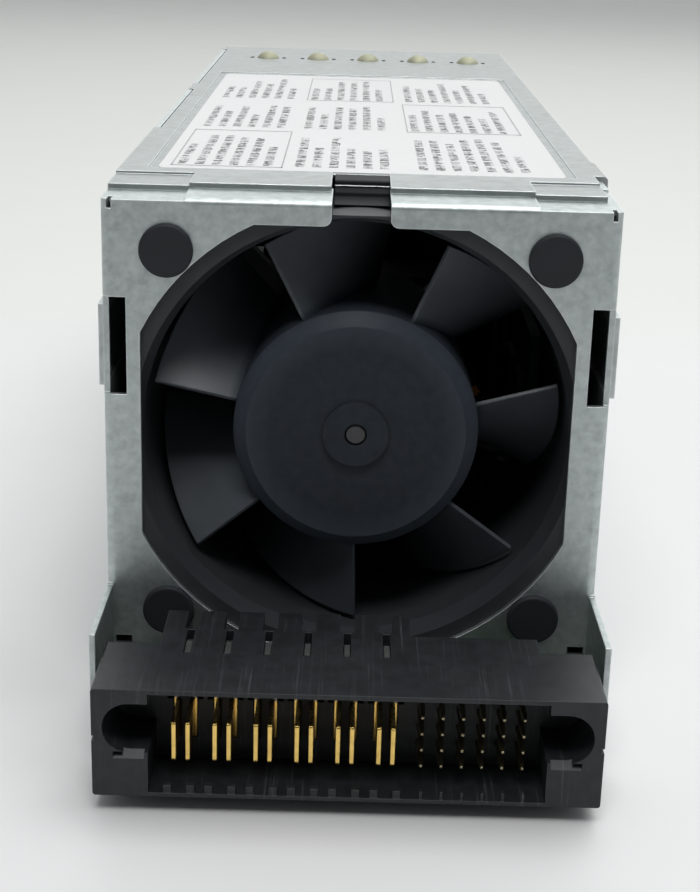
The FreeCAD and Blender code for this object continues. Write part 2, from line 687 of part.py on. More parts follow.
def build_rotor():
    body = doc.addObject("PartDesign::Body", "rotor")
    outline = draw(body, "XZ_Plane", hub_outline(), "0")
    hub = body.newObject("PartDesign::Revolution", "hub")
    hub.Profile = outline
    hub.ReferenceAxis = (origin_axis(body, "Z_Axis"), [""])
    hub.Angle = 360
    doc.recompute()
    blade = body.newObject("PartDesign::AdditiveLoft", "blade")
    blade.Profile = blade_section(body, "hub_inner + 0.9", 11.4, 65, 1.2, -2.6)
    blade.Sections = [blade_section(body, "blade_tip + 2", 13.6, 43, 1.8, -3.2)]
    blade.Ruled = True
    doc.recompute()
    ring_of_blades = body.newObject("PartDesign::PolarPattern", "blades")
    ring_of_blades.Originals = [blade]
    ring_of_blades.Axis = (origin_axis(body, "Z_Axis"), [""])
    ring_of_blades.Angle = 360
    bind(ring_of_blades, "Occurrences", "blade_count")
    body.Tip = ring_of_blades
    doc.recompute()
    past_tips = [("blade_tip", "5"), ("blade_tip", "-fan_depth"), ("fan_depth + 5", "-fan_depth"),
                 ("fan_depth + 5", "5")]
    before = body.Shape.Volume
    trim = body.newObject("PartDesign::Groove", "trim")
    trim.Profile = draw(body, "XZ_Plane", past_tips, "0")
    trim.ReferenceAxis = (origin_axis(body, "Z_Axis"), [""])
    trim.Angle = 360
    body.Tip = trim
    doc.recompute()
    if body.Shape.Volume >= before:
        raise RuntimeError("the trim of the rotor took nothing off")
    return body


def place_rotor():
    turned = Rotation(Vector(0, 0, 1), BLADE_PHASE)
    rotor = build_rotor()
    shaft_hole = rod("shaft_radius", "0", "0", "-5", "10")
    on_rotor(rotor).Placement.Rotation = ROTOR_TURN.multiply(turned)
    hole = on_rotor(shaft_hole)
    bind(hole, "Placement.Base.y", f"{HUB_FRONT} + 5")
    return cut(rotor, hole)


node("fan_rotor", place_rotor())


def sleeve(outer, inner, front, long):
    """A plain ring about the fan's axis."""
    return cut(rod(outer, "0", front, "fan_height", long, "Y"),
               rod(inner, "0", f"{front} - 1", "fan_height", f"({long}) + 2", "Y"))


node("rotor_magnet", sleeve("hub_inner", "magnet_inner", f"{HUB_FRONT} + magnet_front",
                            "magnet_back - magnet_front"))


def build_shaft():
    base_front = f"{FAN_REAR} - fan_base_thick"
    start = f"{HUB_FRONT} - boss_proud + 0.2"
    shaft = rod("shaft_radius", "0", start, "fan_height", f"{base_front} - 0.4 - ({start})", "Y")
    front = value_of(start)
    return rounded(shaft, "inner_bend", lambda edge: middle(edge).y < front + 1e-3)


node("fan_shaft", build_shaft())


def build_bearings():
    first = f"{HUB_FRONT} + tube_front"
    last = f"{FAN_REAR} - fan_base_thick - bearing_long - 1"
    return gather([sleeve("tube_bore", "shaft_radius + running_gap", front, "bearing_long")
                   for front in (first, last)])


node("fan_bearings", build_bearings())


def build_stator():
    """Four T-shaped poles round the bearing tube."""
    front = f"{HUB_FRONT} + stator_front"
    long = "stator_back - stator_front"
    core = sleeve("stator_radius", "tube_outer + fit", front, long)
    slots = []
    for x, z in FAN_CORNERS:
        slots.append(rod("2.1", f"{x}*5.9", f"{front} - 1", f"fan_height + {z}*5.9", f"{long} + 2", "Y"))
    return cut(core, *slots)


node("fan_stator", build_stator())
node("fan_circuit_board", sleeve("fan_board_radius", "tube_outer + fit",
                                 f"{FAN_REAR} - fan_base_thick - fan_board_thick",
                                 "fan_board_thick"))


# ---------------------------------------------------------------- connector
PAIRS = range(6)
ROWS = range(4)


def pair_centre(number):
    return f"pair_first + {number}*pair_pitch"


def each_blade():
    for number in PAIRS:
        for side in SIDES:
            yield f"({pair_centre(number)} + {side}*pair_spacing/2)", side


def each_pin():
    for column in PAIRS:
        for row in ROWS:
            yield f"(pin_first + {column}*pin_pitch)", f"(pin_top - {row}*pin_row)", row


def build_housing():
    front = f"{FACE} - conn_front"
    body = rounded(block(("-conn_half", "conn_half"), (front, CONN_BACK), ("conn_low", "conn_high")),
                   "inner_bend", lambda edge: runs_along(edge, "Y"))
    cavity = [block(("-cavity_half", "cavity_half"), (f"{front} - 1", CONN_WALL),
                    ("cavity_low", "cavity_high"))]
    for side in SIDES:
        cavity.append(block(span(side, "cavity_half - 1", "pocket_reach"),
                            (f"{front} - 1", CONN_WALL),
                            ("pocket_height - pocket_radius", "pocket_height + pocket_radius")))
        cavity.append(rod("pocket_radius", f"{side}*pocket_reach", f"{front} - 1",
                          "pocket_height", "cavity_depth + 1", "Y"))
        cavity.append(pocket_bevel(side))
        cavity.append(block(span(side, "conn_half - nick_deep", "conn_half + 1"),
                            (f"{front} - 1", CONN_BACK + " + 1"),
                            ("nick_height", "nick_height + nick_tall")))
    roof_low = "conn_high - roof_thick"
    solids = [
        block(("-roof_half", "power_roof_right"), (f"{CONN_BACK} - 1", f"{FACE} - power_roof_end"),
              (roof_low, "conn_high")),
        block(("-roof_half", "roof_half"), (f"{CONN_BACK} - 1", f"{FACE} - signal_roof_end"),
              (roof_low, "conn_high")),
    ]
    for side in SIDES:
        solids.append(block(span(side, "roof_half - cheek", "roof_half"),
                            (f"{CONN_BACK} - 1", f"{FACE} - signal_roof_end"),
                            (BOARD_TOP, "conn_high")))
    for number in range(7):
        rib = f"pair_first + ({number} - 0.5)*pair_pitch"
        solids.append(block((f"{rib} - cheek/2", f"{rib} + cheek/2"),
                            (f"{CONN_BACK} - 1", f"{FACE} - power_roof_end"),
                            (BOARD_TOP, "conn_high")))
    shell = cut(join(body, *solids), *cavity, *roof_gaps(), *contact_holes())
    return join(shell, *cavity_ribs())


def pocket_bevel(side):
    """The sloped lead-in under one guide pocket."""
    front = f"{FACE} - conn_front"
    low = "pocket_height - pocket_radius"
    inner, outer = span(side, "cavity_half + bevel_inner", "pocket_reach + bevel_outer")
    return prism("YZ_Plane", [(f"{front} - 0.1", f"{low} - bevel_drop"),
                              (f"{front} + bevel_deep", f"{low} + 0.1"),
                              (f"{front} - 0.1", f"{low} + 0.1")], inner, outer)


def cavity_ribs():
    """Low ribs along the mouth of the cavity's floor: a pair at each pair of
    blades and a thin one at each column of pins."""
    stations = (f"{FACE} - conn_front + 0.2", f"{FACE} - conn_front + 0.2 + rib_deep")
    heights = ("cavity_low - 0.2", "cavity_low + rib_tall")
    for number in PAIRS:
        for side in SIDES:
            centre = f"{pair_centre(number)} + {side}*(pair_spacing/2 + rib_offset/2)"
            yield block((f"{centre} - rib_wide/2", f"{centre} + rib_wide/2"), stations, heights)
        column = f"pin_first + {number}*pin_pitch"
        yield block((f"{column} - thin_rib/2", f"{column} + thin_rib/2"), stations, heights)


def roof_gaps():
    """Notches in the roof's rear edge and a narrow slot in front of each."""
    low, high = "conn_high - roof_thick - 0.1", "conn_high + 1"
    for number in PAIRS:
        centre = pair_centre(number)
        yield block((f"{centre} - gap_width/2", f"{centre} + gap_width/2"),
                    (f"{FACE} - gap_front", FACE), (low, high))
        yield block((f"{centre} - slot_width/2", f"{centre} + slot_width/2"),
                    (f"{FACE} - slot_front", f"{FACE} - slot_back"), (low, high))


def contact_holes():
    wall = (f"{CONN_WALL} - 1", f"{CONN_BACK} + 1")
    for x, side in each_blade():
        yield block((f"{x} - blade_sheet/2 - fit", f"{x} + blade_sheet/2 + fit"), wall,
                    ("contact_low - fit", "contact_high + fit"))
        plate = f"{x} + {side}*plate_shift"
        yield block((f"{plate} - blade_sheet/2 - fit", f"{plate} + blade_sheet/2 + fit"), wall,
                    ("contact_low - fit", "riser_top + fit"))
        edge = f"{plate} + {side}*(blade_sheet/2"
        inner, outer = f"{edge} - fit)", f"{edge} + slot_spare)"
        yield block((inner, outer) if side > 0 else (outer, inner),
                    (f"{CONN_WALL} - 1", f"{CONN_WALL} + slot_sink"), ("contact_high", "riser_top + fit"))
    for x, z, _ in each_pin():
        yield block((f"{x} - pin_size/2 - fit", f"{x} + pin_size/2 + fit"), wall,
                    (f"{z} - pin_size/2 - fit", f"{z} + pin_size/2 + fit"))


node("connector_housing", build_housing())


def power_blade(x, side):
    """One flat contact: a long tongue, a taller plate behind it, set a little
    outwards, and three tails."""
    across = (f"{x} - blade_sheet/2", f"{x} + blade_sheet/2")
    tip = f"{FACE} - contact_tip"
    tongue = block(across, (tip, f"{FACE} - riser_back"), ("contact_low", "contact_high"))
    front = value_of(tip)
    nose = rounded(tongue, "inner_bend",
                   lambda edge: runs_along(edge, "X") and middle(edge).y < front + 1e-3)
    centre = f"{x} + {side}*plate_shift"
    plate = block((f"{centre} - blade_sheet/2", f"{centre} + blade_sheet/2"),
                  (f"{FACE} - plate_front", f"{FACE} - riser_back"), ("contact_low", "riser_top"))
    tails = []
    for number in range(3):
        start = f"{FACE} - tail_first + {number}*tail_pitch"
        tails.append(block(across, (start, f"{start} + tail_width"), ("tail_low", "contact_low")))
    return [nose, plate, *tails]


def blade_pair(number):
    """Two blades and the bridge over their plates, whose tab shows in the roof's slot."""
    centre = pair_centre(number)
    pieces = []
    for side in SIDES:
        pieces += power_blade(f"({centre} + {side}*pair_spacing/2)", side)
    half = "(pair_spacing/2 + plate_shift + blade_sheet/2)"
    back = f"{FACE} - bridge_back"
    bridge = block((f"{centre} - {half}", f"{centre} + {half}"), (f"{FACE} - bridge_front", back),
                   ("riser_top - bridge_thick", "riser_top"))
    across = (f"{centre} - tab_half", f"{centre} + tab_half")
    root = block(across, (f"{FACE} - bridge_front", back), ("riser_top - 0.1", "riser_top + tab_rise"))
    tab = block(across, (f"{FACE} - tab_front", back), ("riser_top + 2*fit", "riser_top + tab_rise"))
    return join(*pieces, bridge, root, tab)


node("power_blades", gather([blade_pair(number) for number in PAIRS]))


def pin_tail(row):
    """Where a row's tails go down: the top row's are furthest back."""
    return f"{FACE} - pin_tail_first + {len(ROWS) - 1 - row}*pin_tail_pitch"


def signal_pin(x, z, row):
    """A square pin with a tapered tip, turned down through the board."""
    half = "pin_size/2"
    tip = f"{FACE} - contact_tip"
    tail = pin_tail(row)
    leg = block((f"{x} - {half}", f"{x} + {half}"), (f"{tip} + pin_taper", f"{tail} + {half}"),
                (f"{z} - {half}", f"{z} + {half}"))
    drop = block((f"{x} - {half}", f"{x} + {half}"), (f"{tail} - {half}", f"{tail} + {half}"),
                 ("tail_low", z))
    taper = doc.addObject("Part::Wedge", "taper")
    for word, low, high in (("X", "-pin_size/2", "pin_size/2"), ("Z", "-pin_size/2", "pin_size/2")):
        bind(taper, f"{word}min", f"{low}/2")
        bind(taper, f"{word}max", f"{high}/2")
        bind(taper, f"{word}2min", low)
        bind(taper, f"{word}2max", high)
    bind(taper, "Ymin", "0")
    bind(taper, "Ymax", "pin_taper")
    place(taper, x, tip, z)
    return join(leg, drop, taper)


node("signal_pins", gather([signal_pin(*pin) for pin in each_pin()]))


# ---------------------------------------------------------------- boards
STANDOFFS = [(side, station) for side in SIDES for station in ("-110", "-72", "89")]


def build_main_board():
    board = block(("-board_half", "board_half"), (f"{FACE} - board_front", "board_end"),
                  ("board_low", BOARD_TOP))
    holes = [rod("screw_hole", f"{side}*standoff_side", station, "board_low - 1", "4")
             for side, station in STANDOFFS]
    for x, _ in each_blade():
        for number in range(3):
            start = f"{FACE} - tail_first + {number}*tail_pitch"
            holes.append(block((f"{x} - blade_sheet/2 - fit", f"{x} + blade_sheet/2 + fit"),
                               (f"{start} - fit", f"{start} + tail_width + fit"),
                               ("board_low - 1", "conn_high")))
    for x, _, row in each_pin():
        holes.append(rod("pin_size*0.71 + fit/2", x, pin_tail(row), "board_low - 1", "4"))
    return cut(board, *holes)


node("main_board", build_main_board())


def build_standoffs():
    posts = []
    for side, station in STANDOFFS:
        across = f"{side}*standoff_side"
        post = hexagon("standoff_radius", across, station, "sheet", "board_low - sheet")
        posts.append(cut(post, rod("screw_hole", across, station, "0", "5")))
    return gather(posts)


def build_board_screws():
    screws = []
    for side, station in STANDOFFS:
        across = f"{side}*standoff_side"
        head = rod("screw_head", across, station, BOARD_TOP, "screw_head_high")
        shank = rod("screw_shank", across, station, "sheet + fit", f"{BOARD_TOP} - sheet")
        screws.append(join(head, shank))
    return gather(screws)


def build_insulation():
    film = block(("-board_half - 1", "board_half + 1"),
                 (f"{FACE} - board_front + 2", "board_end + 3"), ("sheet", "sheet + film"))
    holes = [rod("standoff_radius + 0.5", f"{side}*standoff_side", station, "0", "5")
             for side, station in STANDOFFS]
    return cut(film, *holes)


node("board_standoffs", build_standoffs())
node("board_screws", build_board_screws())
node("insulation_sheet", build_insulation())


# ---------------------------------------------------------------- parts on the board
def on_board(x, y, wide, long, tall):
    """A block standing on the board, centred at x, y."""
    return block((f"{x} - {wide}/2", f"{x} + {wide}/2"), (f"{y} - {long}/2", f"{y} + {long}/2"),
                 (BOARD_TOP, f"{BOARD_TOP} + {tall}"))


def can(x, y, radius, tall):
    """A capacitor: a round can with a rounded top."""
    body = rod(radius, x, y, BOARD_TOP, tall)
    top = value_of(f"{BOARD_TOP} + {tall}")
    return rounded(body, "can_edge", lambda edge: middle(edge).z > top - 1e-3)


def toroid(x, y, radius, tall, hole):
    """A ring core standing on its rim, its axis along Y."""
    height = f"{BOARD_TOP} + {radius}"
    start = f"{y} - {tall}/2"
    return cut(rod(str(radius), x, start, height, str(tall), "Y"),
               rod(str(hole), x, f"{start} - 1", height, f"{tall} + 2", "Y"))


def winding(x, y, radius, tall, hole, turns, wire):
    """Square turns of wire laid round a ring core, all but its foot."""
    loops = []
    height = f"{BOARD_TOP} + {radius}"
    for turn in range(turns):
        angle = -60 + turn * 300 / (turns - 1)
        outer = on_ring(x, y, height, angle, f"{hole} - 0.3 - {wire}", f"{radius} + {wire}", tall, wire, True)
        inner = on_ring(x, y, height, angle, f"{hole} - 0.3", radius, tall, wire, False)
        loops.append(cut(outer, inner))
    return loops


def on_ring(x, y, height, angle, low, high, tall, wire, whole):
    """A radial block of a ring winding at one angle; whole takes in the wire's thickness."""
    item = doc.addObject("Part::Box", "turn")
    extra = f"2*{wire}" if whole else "0"
    wide = wire if whole else f"3*{wire}"
    bind(item, "Length", f"({high}) - ({low})")
    bind(item, "Width", f"{tall} + {extra}")
    bind(item, "Height", wide)
    lean = radians(angle)
    east, up = f"{cos(lean):.6f}", f"{sin(lean):.6f}"
    return place(item, f"{x} + ({low})*{east} + {wide}/2*({up})", f"{y} - ({tall} + {extra})/2",
                 f"{height} + ({low})*{up} - {wide}/2*({east})", Rotation(Vector(0, 1, 0), -angle))


node("bulk_capacitors", gather([can("-15.6", "38", 15, 48), can("15.6", "38", 15, 48)]))
node("output_capacitors", gather([can(f"{x}", "-56", 5, 20) for x in (-24, -12, 0, 12, 24)]))
node("film_capacitors", gather([
    rounded(on_board("23", y, 13, 14, 17), "inner_bend", lambda edge: runs_along(edge, "Z"))
    for y in ("78", "63")]))
node("choke_core", toroid("8", "-36", 15, 12, 7.5))
node("choke_winding", gather(winding("8", "-36", 15, 12, 7.5, 13, 1.6)))
node("filter_chokes", gather([
    join(toroid("-20", "62", 10, 8, 5), *[on_board("-20", "62", 12, 12, 3)]),
    join(toroid("4", "62", 10, 8, 5), *[on_board("4", "62", 12, 12, 3)])]))


def build_heatsink(x, y, long, tall, fins, toward):
    """An upright plate with fins on one face."""
    plate = on_board(x, y, 2.4, long, tall)
    pitch = long / fins
    ribs = [block((f"{x} + {min(toward, 0)}*6", f"{x} + {max(toward, 0)}*6"),
                  (f"{y} - {long}/2 + {(number + 0.3) * pitch:.3f}",
                   f"{y} - {long}/2 + {(number + 0.3) * pitch:.3f} + 1.2"),
                  (BOARD_TOP, f"{BOARD_TOP} + {tall}")) for number in range(fins)]
    return join(plate, *ribs)


node("primary_heatsink", build_heatsink("-24", "2", 36, 48, 7, -1))
node("secondary_heatsink", build_heatsink("-18", "-34", 28, 44, 5, -1))


def build_transistors():
    """Tab packages clamped to the flat faces of the two heat sinks."""
    packages = []
    for x, y in (("-24", "-9"), ("-24", "4"), ("-18", "-42"), ("-18", "-30")):
        face = f"{x} + 1.2"
        packages.append(block((face, f"{face} + 1.3"), (f"{y} - 5", f"{y} + 5"),
                              (f"{BOARD_TOP} + 6", f"{BOARD_TOP} + 22")))
        packages.append(block((f"{face} + 1.3", f"{face} + 4.5"), (f"{y} - 5", f"{y} + 5"),
                              (f"{BOARD_TOP} + 6", f"{BOARD_TOP} + 15")))
        for offset in (-2.54, 0, 2.54):
            packages.append(block((f"{face} + 2", f"{face} + 2.6"),
                                  (f"{y} + {offset} - 0.4", f"{y} + {offset} + 0.4"),
                                  (BOARD_TOP, f"{BOARD_TOP} + 6.5")))
    return join(*packages)


node("power_transistors", build_transistors())
node("bridge_rectifier", join(
    block(("-22.8", "-18.2"), ("9.5", "19.5"), (f"{BOARD_TOP} + 4", f"{BOARD_TOP} + 22")),
    *[block(("-20.9", "-20.1"), (f"{y}", f"{y} + 0.9"), (BOARD_TOP, f"{BOARD_TOP} + 5"))
      for y in (10.5, 13, 15.5, 18)]))


def build_transformer_core():
    """A closed ferrite frame with a round middle leg."""
    outer = on_board("4", "2", 34, 15, 36)
    window = block(("-8", "16"), ("-10", "14"), (f"{BOARD_TOP} + 6", f"{BOARD_TOP} + 30"))
    leg = rod("6", "4", "2", f"{BOARD_TOP} + 5", "26")
    return join(cut(outer, window), leg)


def build_transformer_winding():
    ring_height = "24"
    coil = cut(rod("11.6", "4", "2", f"{BOARD_TOP} + 6", ring_height),
               rod("6.1", "4", "2", BOARD_TOP, "40"))
    return coil


node("transformer_core", build_transformer_core())
node("transformer_winding", build_transformer_winding())


def build_control_board():
    board = block(("28.6", "30.2"), ("-48", "14"), (BOARD_TOP, f"{BOARD_TOP} + 36"))
    chips = [block(("27.4", "28.6"), (f"{y}", f"{y} + 9"), (f"{BOARD_TOP} + {z}", f"{BOARD_TOP} + {z} + 7"))
             for y, z in ((-42, 20), (-26, 20), (-8, 22), (-36, 6), (-18, 6))]
    return join(board, *chips)


node("control_board", build_control_board())


# ---------------------------------------------------------------- handle end
LIGHTS = [f"light_first + {number}*light_pitch" for number in range(3)]
PANEL = (f"{REAR} - sheet", REAR)
HANDLE_SCREWS = ("handle_low + handle_bar/2", "handle_high - handle_bar/2")


def air_holes():
    """Staggered hexagons wherever the panel is free."""
    fields = [(-20, 15, 45, 67), (7, 15, 8, 44)]
    pitch = SIZES["hole_pitch"]
    rise = pitch * cos(radians(30))
    for left, right, low, high in fields:
        for row in range(int((high - low) / rise) + 1):
            shift = pitch / 2 if row % 2 else 0
            for column in range(int((right - left - shift) / pitch) + 1):
                yield hexagon("hole_radius", f"{left} + {shift} + {column}*hole_pitch",
                              f"{REAR} - 2", f"{low} + {row}*{rise:.4f}", "4", "Y")


def build_rear_panel():
    panel = block(("-half_width", "half_width"), PANEL, ("0", f"{DECK} - panel_gap"))
    openings = list(air_holes())
    openings.append(block(("inlet_side - inlet_body_half", "inlet_side + inlet_body_half"),
                          (f"{REAR} - 2", f"{REAR} + 1"),
                          ("inlet_height - inlet_body_tall", "inlet_height + inlet_body_tall")))
    openings.append(block(("-arm_outer - 0.5", "-arm_inner + 4"), (f"{REAR} - 2", f"{REAR} + 1"),
                          ("lever_low - 0.6", "lever_high + 0.6")))
    for across in LIGHTS:
        openings.append(rod("light_radius + fit", across, f"{REAR} - 2", "light_height", "4", "Y"))
    for side in SIDES:
        for height in ("panel_screw_low", "panel_screw_high"):
            openings.append(rod("panel_screw_shank + fit", f"{side}*panel_screw_side",
                                f"{REAR} - 2", height, "4", "Y"))
    for height in HANDLE_SCREWS:
        openings.append(rod("screw_hole", "handle_side", f"{REAR} - 2", height, "4", "Y"))
    return cut(panel, *openings)


node("rear_panel", build_rear_panel())


def build_panel_screws():
    screws = []
    for side in SIDES:
        for height in ("panel_screw_low", "panel_screw_high"):
            across = f"{side}*panel_screw_side"
            head = rod("panel_screw_head", across, REAR, height, "screw_head_high", "Y")
            end = value_of(f"{REAR} + screw_head_high")
            head = rounded(head, "inner_bend", lambda edge: middle(edge).y > end - 1e-3)
            shank = rod("panel_screw_shank", across, f"{REAR} - 4", height, "4.2", "Y")
            screws.append(join(head, shank))
    return gather(screws)


node("rear_panel_screws", build_panel_screws())


def socket_outline():
    """The mains socket's section: a rectangle with its two upper corners cut off."""
    left, right = "inlet_side - socket_half", "inlet_side + socket_half"
    low, high = "inlet_height - socket_tall", "inlet_height + socket_tall"
    return [(left, low), (right, low), (right, f"{high} - socket_corner"),
            (f"{right} - socket_corner", high), (f"{left} + socket_corner", high),
            (left, f"{high} - socket_corner")]


MAINS_PINS = [(-1, -1), (1, -1), (0, 1)]


def mains_pin(side, up):
    return f"inlet_side + {side}*mains_pin_side", f"inlet_height + {up}*mains_pin_rise"


def build_inlet():
    bezel = block(("inlet_side - inlet_bezel_half", "inlet_side + inlet_bezel_half"),
                  (REAR, f"{REAR} + inlet_bezel_thick"),
                  ("inlet_height - inlet_bezel_tall", "inlet_height + inlet_bezel_tall"))
    bezel = rounded(bezel, "clip_block_top", lambda edge: runs_along(edge, "Y"))
    body = block(("inlet_side - inlet_body_half", "inlet_side + inlet_body_half"),
                 (f"{REAR} - inlet_depth", f"{REAR} + 0.5"),
                 ("inlet_height - inlet_body_tall", "inlet_height + inlet_body_tall"))
    end = f"{REAR} + inlet_bezel_thick"
    socket = prism("XZ_Plane", socket_outline(), f"{end} - socket_depth", f"{end} + 1")
    holes = []
    for pin in MAINS_PINS:
        x, z = mains_pin(*pin)
        holes.append(block((f"{x} - mains_pin_wide/2", f"{x} + mains_pin_wide/2"),
                           (f"{REAR} - inlet_depth - 1", REAR),
                           (f"{z} - mains_pin_tall/2", f"{z} + mains_pin_tall/2")))
    return cut(join(bezel, body), socket, *holes)


node("inlet_housing", build_inlet())


def build_inlet_pins():
    pins = []
    for pin in MAINS_PINS:
        x, z = mains_pin(*pin)
        blade = block((f"{x} - mains_pin_wide/2", f"{x} + mains_pin_wide/2"),
                      (f"{REAR} - inlet_depth - mains_tab",
                       f"{REAR} + inlet_bezel_thick - mains_pin_setback"),
                      (f"{z} - mains_pin_tall/2", f"{z} + mains_pin_tall/2"))
        end = value_of(f"{REAR} + inlet_bezel_thick - mains_pin_setback")
        pins.append(rounded(blade, "inner_bend", lambda edge: middle(edge).y > end - 1e-3))
    return gather(pins)


node("inlet_pins", build_inlet_pins())


def build_lights():
    pipes = []
    end = value_of(f"{REAR} + light_proud")
    for across in LIGHTS:
        pipe = rod("light_radius", across, f"{REAR} - light_length", "light_height",
                   "light_length + light_proud", "Y")
        pipes.append(rounded(pipe, "inner_bend", lambda edge: middle(edge).y > end - 1e-3))
    carrier = block(("light_first - 3", "light_first + 2*light_pitch + 3"),
                    (f"{REAR} - sheet - 2", f"{REAR} - sheet"),
                    ("light_height - 3", "light_height + 3"))
    return join(carrier, *pipes)


node("status_lights", build_lights())


def build_handle():
    """A loop standing on the panel: two feet and a straight grip."""
    across = ("handle_side - handle_half", "handle_side + handle_half")
    outer = block(across, (REAR, f"{REAR} + handle_reach"), ("handle_low", "handle_high"))
    far = value_of(f"{REAR} + handle_reach")
    outer = rounded(outer, "handle_outer_bend",
                    lambda edge: runs_along(edge, "X") and middle(edge).y > far - 1e-3)
    inner = block(("handle_side - handle_half - 1", "handle_side + handle_half + 1"),
                  (f"{REAR} - 15", f"{REAR} + handle_reach - handle_bar"),
                  ("handle_low + handle_bar", "handle_high - handle_bar"))
    inside = value_of(f"{REAR} + handle_reach - handle_bar")
    inner = rounded(inner, "handle_inner_bend",
                    lambda edge: runs_along(edge, "X") and middle(edge).y > inside - 1e-3)
    loop = cut(outer, inner)
    rear = value_of(REAR)
    edge_side = value_of("handle_half")
    loop = rounded(loop, "handle_edge",
                   lambda edge: abs(abs(middle(edge).x - SIZES["handle_side"]) - edge_side) < 1e-3
                   and middle(edge).y > rear + 1)
    screws = [rod("screw_hole", "handle_side", f"{REAR} - 1", height, "handle_screw_long + 1", "Y")
              for height in HANDLE_SCREWS]
    return cut(loop, *screws)


node("pull_handle", build_handle())


def build_handle_screws():
    screws = []
    for height in HANDLE_SCREWS:
        head = rod("screw_head", "handle_side", f"{REAR} - sheet - screw_head_high", height,
                   "screw_head_high", "Y")
        shank = rod("screw_shank", "handle_side", f"{REAR} - sheet - 0.5", height,
                    "handle_screw_long", "Y")
        screws.append(join(head, shank))
    return gather(screws)


node("handle_screws", build_handle_screws())


# ---------------------------------------------------------------- release lever
def build_lever():
    boss = rod("boss_outer", "lever_pin_x", "lever_pin_y", "hook_low - 2", "lever_high + 1 - (hook_low - 2)")
    arm = block(("-arm_outer", "-arm_inner"), ("lever_pin_y", f"{REAR} + lever_reach"),
                ("lever_low", "lever_high"))
    root = "-arm_outer"
    hook = prism("XY_Plane", [(root, "hook_start"), ("-half_width", "hook_root"),
                              ("-hook_reach", "hook_end - 1"), ("-hook_reach", "hook_end"),
                              (root, "hook_end")], "hook_low", "hook_high")
    pad = rounded(block(("-pad_outer", "-arm_inner"), ("pad_start", f"{REAR} + lever_reach"),
                        ("pad_low", "pad_high")), "clip_block_top",
                  lambda edge: runs_along(edge, "X"))
    grips = [rod("0.6", "-pad_outer", f"pad_start + {2.4 + 1.8 * number:.1f}", "pad_low + 2",
                 "pad_high - pad_low - 4") for number in range(4)]
    hole = rod("lever_pin_radius + fit", "lever_pin_x", "lever_pin_y", "0", "body_height")
    return cut(join(boss, arm, hook, pad, *grips), hole)


node("release_lever", build_lever())


def build_bracket():
    """A sheet bracket on the wall, with an ear above and below the lever."""
    wall = "-half_width + sheet"
    base = block((wall, f"{wall} + bracket_thick"), ("bracket_front", "bracket_back"),
                 ("bracket_ear_low", "bracket_ear_high"))
    ears = [block((wall, "-bracket_reach"), ("bracket_front", "bracket_back"),
                  (low, f"{low} + bracket_thick"))
            for low in ("bracket_ear_low", "bracket_ear_high - bracket_thick")]
    hole = rod("lever_pin_radius", "lever_pin_x", "lever_pin_y", "0", "body_height")
    return cut(join(base, *ears), hole)


node("lever_bracket", build_bracket())
node("lever_pin", rod("lever_pin_radius", "lever_pin_x", "lever_pin_y",
                      "bracket_ear_low - 0.6", "bracket_ear_high - bracket_ear_low + 1.2"))


def build_spring():
    """Three close coils round the pin with two straight legs, flattened where they start."""
    seat = "lever_high + 1"
    pitch = "(2*spring_wire + 0.04)"
    leg = "spring_wire*0.8"
    coils = [ring("spring_radius", "spring_wire", "lever_pin_x", "lever_pin_y",
                  f"{seat} + spring_wire + {number}*{pitch}") for number in range(3)]
    legs = []
    for side, level, near, far in ((-1, 0, "0", "7"), (1, 2, "-5", "0")):
        across = f"lever_pin_x + {side}*spring_radius"
        height = f"{seat} + spring_wire + {level}*{pitch}"
        legs.append(block((f"{across} - {leg}", f"{across} + {leg}"),
                          (f"lever_pin_y + {near}", f"lever_pin_y + {far}"),
                          (f"{height} - {leg}", f"{height} + {leg}")))
    return gather([join(coils[0], legs[0]), coils[1], join(coils[2], legs[1])])


node("lever_spring", build_spring())

# ---------------------------------------------------------------- check and write
doc.recompute()
for item in doc.Objects:
    if "Invalid" in item.State or "Error" in item.State:
        raise RuntimeError(f"{item.Name} ({item.Label}) failed: {item.State}")
os.makedirs("parts", exist_ok=True)
for item in NODES:
    shape = item.Shape
    if shape.isNull() or not shape.isValid():
        raise RuntimeError(f"{item.Label} has no valid shape")
    shape.exportStep(f"parts/{item.Label}.step")
    print(f"{item.Label:22} {len(shape.Solids):3} solids {shape.Volume:10.1f} mm3")
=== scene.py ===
# %% [markdown]
# # Finishes for a hot swap server power supply
# The construction is already made: a sheet-metal tray, a cover, a fan behind an opening, a connector
# with gold blades and pins, and a handle and mains inlet at the far end. What is missing is how it
# looks. Each step below says what the thing is on the real supply, how it could be made, and why it is
# made this way here.

import json
import random
from math import cos, pi, sin

import bmesh
import bpy
from mathutils import Matrix, Vector


